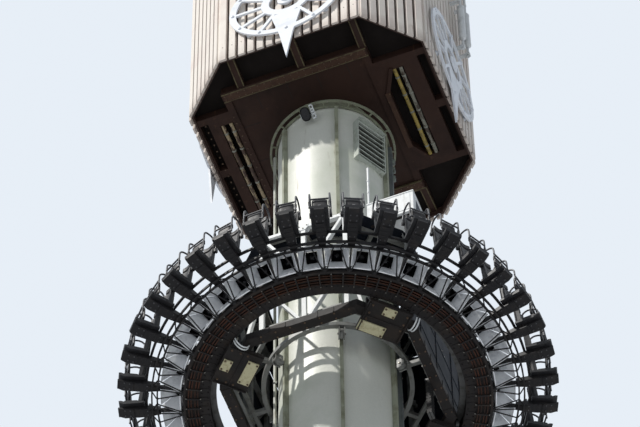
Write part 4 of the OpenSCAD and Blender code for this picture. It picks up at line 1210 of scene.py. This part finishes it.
# %% Bolt the frame and its brackets
deck_z, frame_half, frame_beam, web_z = 9633, 270, 26, 9595
beam_z = deck_z - frame_beam
stiffeners, frame_spots = [], []
for side in range(4):
    turn = turn_by(90 * side)
    for k in range(-3, 4):
        if k:
            stiffeners.append(moved(box((k * 44 - 1.5, -frame_half - 1.4, beam_z + 2),
                                        (k * 44 + 1.5, -frame_half + 1, deck_z - 2)), turn))
        for y in (5 - frame_half, frame_beam - 5 - frame_half):
            frame_spots.append((through(turn, (k * 40 + 8, y, beam_z)), down))
    for x in (-146, 118):
        stiffeners.append(moved(box((x, -frame_half + 1, beam_z - 1.6),
                                    (x + 28, -frame_half + frame_beam - 1, beam_z + 1)), turn))
piece("frame_plates", stiffeners, frame_black, "carriage", bevel=0.4)
settle(bolts("frame_bolts", frame_spots, 3.6, soffit_bolt, 12), "carriage")

plate_spots, bracket_ribs = [], []
for k in range(4):
    turn = at_azimuth(45 + 90 * k)
    first = -60 if k == 0 else -36
    low_spots = [(x, first + y) for x in (243, 265) for y in (5, 67)]
    low_spots += [(x, y) for x in (308, 324) for y in (-13, 13)]
    plate_spots += [(through(turn, (x, y, web_z - 4)), down) for x, y in low_spots]
    plate_spots += [(through(turn, (x, y, web_z)), down) for y in (-48, 48)
                    for x in (276, 296, 320)]
    ribs = [box((238, y - 1.5, web_z - 6), (328, y + 1.5, web_z + 1)) for y in (-56, 56)]
    ribs.append(box((284, -54, web_z - 3), (287, 54, web_z + 1)))
    bracket_ribs += [moved(rib, turn) for rib in ribs]
piece("bracket_ribs", bracket_ribs, frame_black, "carriage", bevel=0.4)
settle(bolts("plate_bolts", plate_spots, 4.2, soffit_bolt, 13), "carriage")

# %% [markdown]
# Two thin pipes hang in a loop beside each bracket. Their line is half a sine wave, made
# blunter by a power below one, so that the pipes drop steeply and run flat at the bottom.

# %% Bend the pipe loops at the brackets
loop_lines = []
for k in range(4):
    turn = at_azimuth(45 + 90 * k)
    for y in (66, 74):
        line = []
        for s in range(13):
            t = s / 12
            sag = math.sin(math.pi * t) ** 0.6
            line.append(through(turn, (284 + 42 * t, y + 6 * t, web_z + 8 - 20 * sag)))
        loop_lines.append(line)
settle(tubes("pipe_loops", loop_lines, 2.0, mast_white, 8), "carriage")

# %% [markdown]
# ## The guide truss
# Where the bars of the truss meet, gusset plates with three bolts sit on both faces. The
# plates of the top row hang down, the others stand up. The plates on the front are white, and
# those on the sides are painted grey as painted shade.

# %% Add gussets and bolts to the truss
truss_z, bay, bar_t, half_truss = 10103, 117, 12, 250
row_h = (470 - bar_t) / 2
front_plates, side_plates, gusset_spots = [], [], []
for side in range(4):
    turn = turn_by(90 * side)
    place = turn @ shift(0, -half_truss, deck_z)
    plates = side_plates if side else front_plates
    for x in (-bay, 0, bay):
        for row in range(3):
            z = row * row_h + bar_t / 2
            wide = 17 if row == 1 else 15
            plate = [(x - wide, z - 6), (x + wide, z - 6), (x + wide, z + 7), (x + 7, z + 19),
                     (x - 7, z + 19), (x - wide, z + 7)]
            if row == 2:
                plate = [(u, 2 * z - v) for u, v in reversed(plate)]
            plates += [moved(prism(plate, y, y + 2), place) for y in (-1.4, bar_t - 0.6)]
            for dx, dz in ((-11, 0), (11, 0), (0, 12 if row < 2 else -12)):
                for y, way in ((-1.4, -1), (bar_t + 1.4, 1)):
                    gusset_spots.append((through(place, (x + dx, y, z + dz)),
                                         through(turn, (0, way, 0))))
piece("front_gussets", front_plates, truss_white, "carriage", bevel=0.3)
# The side gussets take the grey of painted shade, like the sides of the truss.
piece("side_gussets", side_plates, truss_dusty, "carriage", bevel=0.3)
settle(bolts("truss_bolts", gusset_spots, 3.4, bolt_steel, 14), "carriage")

# %% [markdown]
# Sheets close the truss on three sides, because from below no sky shows through it. Posts,
# rails and screws keep them from looking like card. A deck with a round hole for the column lies
# on top, with its corners cut at the front. Sheets and deck are painted dark navy as painted
# shade, for the dark that fills the truss from below.

# %% Close the truss with sheets and a deck
# Dark navy on the sheets and deck is painted shade.
sheet_dark = finish("sheet_dark", (27, 31, 39), 0.65, gloss=0.12,
                    patch=((19, 22, 28), 0.06, 0.48), streak=((48, 46, 44), 0.01, 0.64), seed=52)
sheets, sheet_spots = [], []
for side, first, last in ((1, -132, 250), (2, -250, 250), (3, -250, 132)):
    turn = turn_by(90 * side)
    place = turn @ shift(0, -half_truss, deck_z)
    low_first, low_last = max(first, -172), min(last, 172)
    wall = [(low_first, 3), (low_last, 3), (low_last, 36), (last, 42), (last, 469),
            (first, 469), (first, 42), (low_first, 36)]
    posts = [x for x in (-248, -185, -62, 62, 185, 248) if first < x < last]
    parts = [prism(wall, -2.0, -0.4)]
    parts += [box((x - 1.5, -4.6, 48), (x + 1.5, -1, 468)) for x in posts]
    parts += [box((first + 2, -3.4, z - 1.6), (last - 2, -1, z + 1.6)) for z in (128, 232, 344)]
    sheets += [moved(part, place) for part in parts]
    for x in posts:
        inwards = math.copysign(6, -x)
        for z in range(60, 460, 44):
            for beside in (-6, 6) if abs(x) < 240 else (inwards, inwards):
                sheet_spots.append((through(place, (x + beside, -2.0, z)),
                                    through(turn, (0, -1, 0))))
settle(bolts("sheet_screws", sheet_spots, 2.2, soffit_bolt, 16), "carriage")
piece("truss_sheets", sheets, sheet_dark, "carriage", bevel=0.2)

rays, hole_r, deck_half, corner_cut = 72, 182, 249, 381
angles = [2 * math.pi * k / rays for k in range(rays)]
inner = [(hole_r * math.cos(a), hole_r * math.sin(a)) for a in angles]
outer = []
for x, y in inner:
    reach = deck_half / max(abs(x), abs(y))
    if y < 0:
        reach = min(reach, corner_cut / (abs(x) + abs(y)))
    outer.append((x * reach, y * reach))
verts = [(x, y, z) for z in (truss_z - 0.5, truss_z + 1.8) for x, y in inner + outer]
faces = []
for k in range(rays):
    n = (k + 1) % rays
    faces += [(k, n, rays + n, rays + k), (2 * rays + k, 3 * rays + k, 3 * rays + n, 2 * rays + n),
              (k, 2 * rays + k, 2 * rays + n, n), (rays + k, rays + n, 3 * rays + n, 3 * rays + k)]
deck_ribs = [moved(box((196, -2, truss_z - 3), (236, 2, truss_z + 0.5)), turn_by(22.5 + 45 * k))
             for k in range(8)]
piece("top_deck", [(verts, faces)] + deck_ribs, sheet_dark, "carriage")

# %% [markdown]
# ## Rollers, chain and cabinet
# Rollers guide the carriage on the column, two rows of six, and eight more carry the ring. Each
# gets a turned hub with a rim, and those on the column a nut on both ends of their axle.

# %% Fit hubs to the rollers
roller_r, gap, rail_t, ring_top = 14, 0.3, 13, 9650
rail_hub = knob([(10.6, 3.6), (10.6, 4.5), (8.4, 4.6), (7.6, 4.1), (5.2, 4.1), (4.6, 5.2),
                 (0.5, 5.3)], 20)
axle_nut = knob([(3.4, 8), (3.4, 10.6), (2.6, 11.2), (0.5, 11.2)], 6)
ring_hub = knob([(10.4, 11.8), (10.4, 12.6), (8, 12.8), (7, 12.3), (4.8, 12.3), (4.2, 13.4),
                 (0.5, 13.5)], 20)
hubs = []
for z in (deck_z + 44, truss_z - 14):
    for k in range(6):
        axle = (at_azimuth(rail_az + 60 * k)
                @ shift(col_r + rail_t + gap + roller_r, 0, z - 18) @ turn_by(90, "X"))
        hubs += [moved(part, axle @ turn_by(flip, "Y")) for flip in (0, 180)
                 for part in (rail_hub, axle_nut)]
for azimuth in (45 + 90 * k + side for k in range(4) for side in (-8, 8)):
    hubs.append(moved(ring_hub, at_azimuth(azimuth)
                      @ shift(312, 0, ring_top - gap - roller_r) @ turn_by(90, "Y")))
piece("roller_hubs", hubs, bolt_steel, "carriage", bevel=0.2)

# %% [markdown]
# The chain that guides the cables is ten links between side plates. One link is drawn and the
# row tree stacks the others on it, 15 mm apart. Six cables run through them, and a bracket
# holds the chain at each end.

# %% Link the chain
links, link_h, chain_x, chain_y = 10, 15, 237, 37
chain_foot = deck_z - link_h * links - 2
side_plate = [(-5.4, 1), (-6.8, 3), (-6.8, 12), (-5.4, 14), (5.4, 14), (6.8, 12), (6.8, 3),
              (5.4, 1)]
link = [prism(side_plate, y, y + 2.2) for y in (-12.8, 10.6)]
link += [box((x, -10.8, low), (x + 1.6, 10.8, high)) for low, high in ((3, 6), (9, 11.6))
         for x in (-6.4, 4.8)]
link.append(moved(knob([(2.6, -12.9), (2.6, 12.9)], 8), shift(0, 0, 0.6) @ turn_by(90, "X")))
one_link = made("chain_links", moved(joined(*link), shift(chain_x, chain_y, chain_foot)),
                chain_black, bevel=0.3)
chain = grow(one_link, row_tree, count=links, step=(0, 0, link_h * MM), finish=chain_black)
settle(chain, "carriage", ["cable_chain"])
rubber = finish("roller_rubber", (30, 29, 29), 0.7, patch=((52, 49, 46), 0.01, 0.48), seed=50)
cable_lines = [[(chain_x + x, chain_y + y, z)
                for z in (chain_foot + 2, chain_foot + 60, deck_z - 3)]
               for x, y in ((-2.6, -7), (2.2, -7.4), (0, -2.4), (-2.4, 3), (2.4, 3.4), (0, 8))]
settle(tubes("chain_cables", cable_lines, 1.7, rubber, 6), "carriage")
ends = [box((230.5, 24.6, chain_foot - 1.6), (243.5, 49.4, chain_foot + 0.6)),
        box((229.4, 23.4, deck_z - 9), (244, 50.6, deck_z - 0.8))]
piece("chain_ends", ends, roller_steel, "carriage", bevel=0.3)

# %% [markdown]
# The white cabinet at the front corner gets two doors with handles, a lid, a side panel, vents
# and feet, laid on the faces of its solid. The rod above it gets three collars.

# %% Detail the cabinet
low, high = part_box("drive_housing")
x0, y0, z0 = (v / MM for v in low)
x1, y1, z1 = high[0] / MM, high[1] / MM, truss_z + 97
doors = [box((x0 + 8, y0 - 1.2, z0 + 10), (x0 + 60, y0 + 0.8, z1 - 10)),
         box((x0 + 66, y0 - 1.2, z0 + 10), (x1 - 8, y0 + 0.8, z1 - 10)),
         box((x0 + 54, y0 - 3, z0 + 44), (x0 + 57, y0 - 1, z0 + 56)),
         box((x0 + 69, y0 - 3, z0 + 44), (x0 + 72, y0 - 1, z0 + 56)),
         box((x0 - 1.6, y0 - 1.6, z1 - 4), (x1 + 1.6, y1 + 1.6, z1 + 0.8)),
         box((x1 - 0.8, y0 + 12, z0 + 12), (x1 + 1.2, y1 - 12, z1 - 12))]
piece("cabinet_doors", doors, truss_white, "carriage", bevel=0.4)
vents = [box((x1 + 0.8, y0 + 18, z), (x1 + 2.4, y1 - 18, z + 3))
         for z in (z0 + 20 + 8 * k for k in range(7))]
vents += [box((x0 + 14, y0 - 2.2, z), (x0 + 40, y0 - 1, z + 2.4))
          for z in (z0 + 18 + 6 * k for k in range(4))]
vent_grey = finish("vent_grey", (70, 76, 88), 0.55, patch=((46, 50, 58), 0.01, 0.5), seed=51)
piece("cabinet_vents", vents, vent_grey, "carriage", bevel=0.2)
feet = [box((x0 + 6, y, z0 - 4), (x1 - 6, y + 6, z0 + 1)) for y in (y0 + 8, y1 - 14)]
piece("cabinet_feet", feet, frame_black, "carriage", bevel=0.4)
collar = knob([(3, 0), (4.4, 1), (4.4, 7), (3, 8)], 12)
piece("rod_collars", [moved(collar, shift(165, -187, z1 + z)) for z in (0.8, 60, 120)],
      mast_white, "carriage")
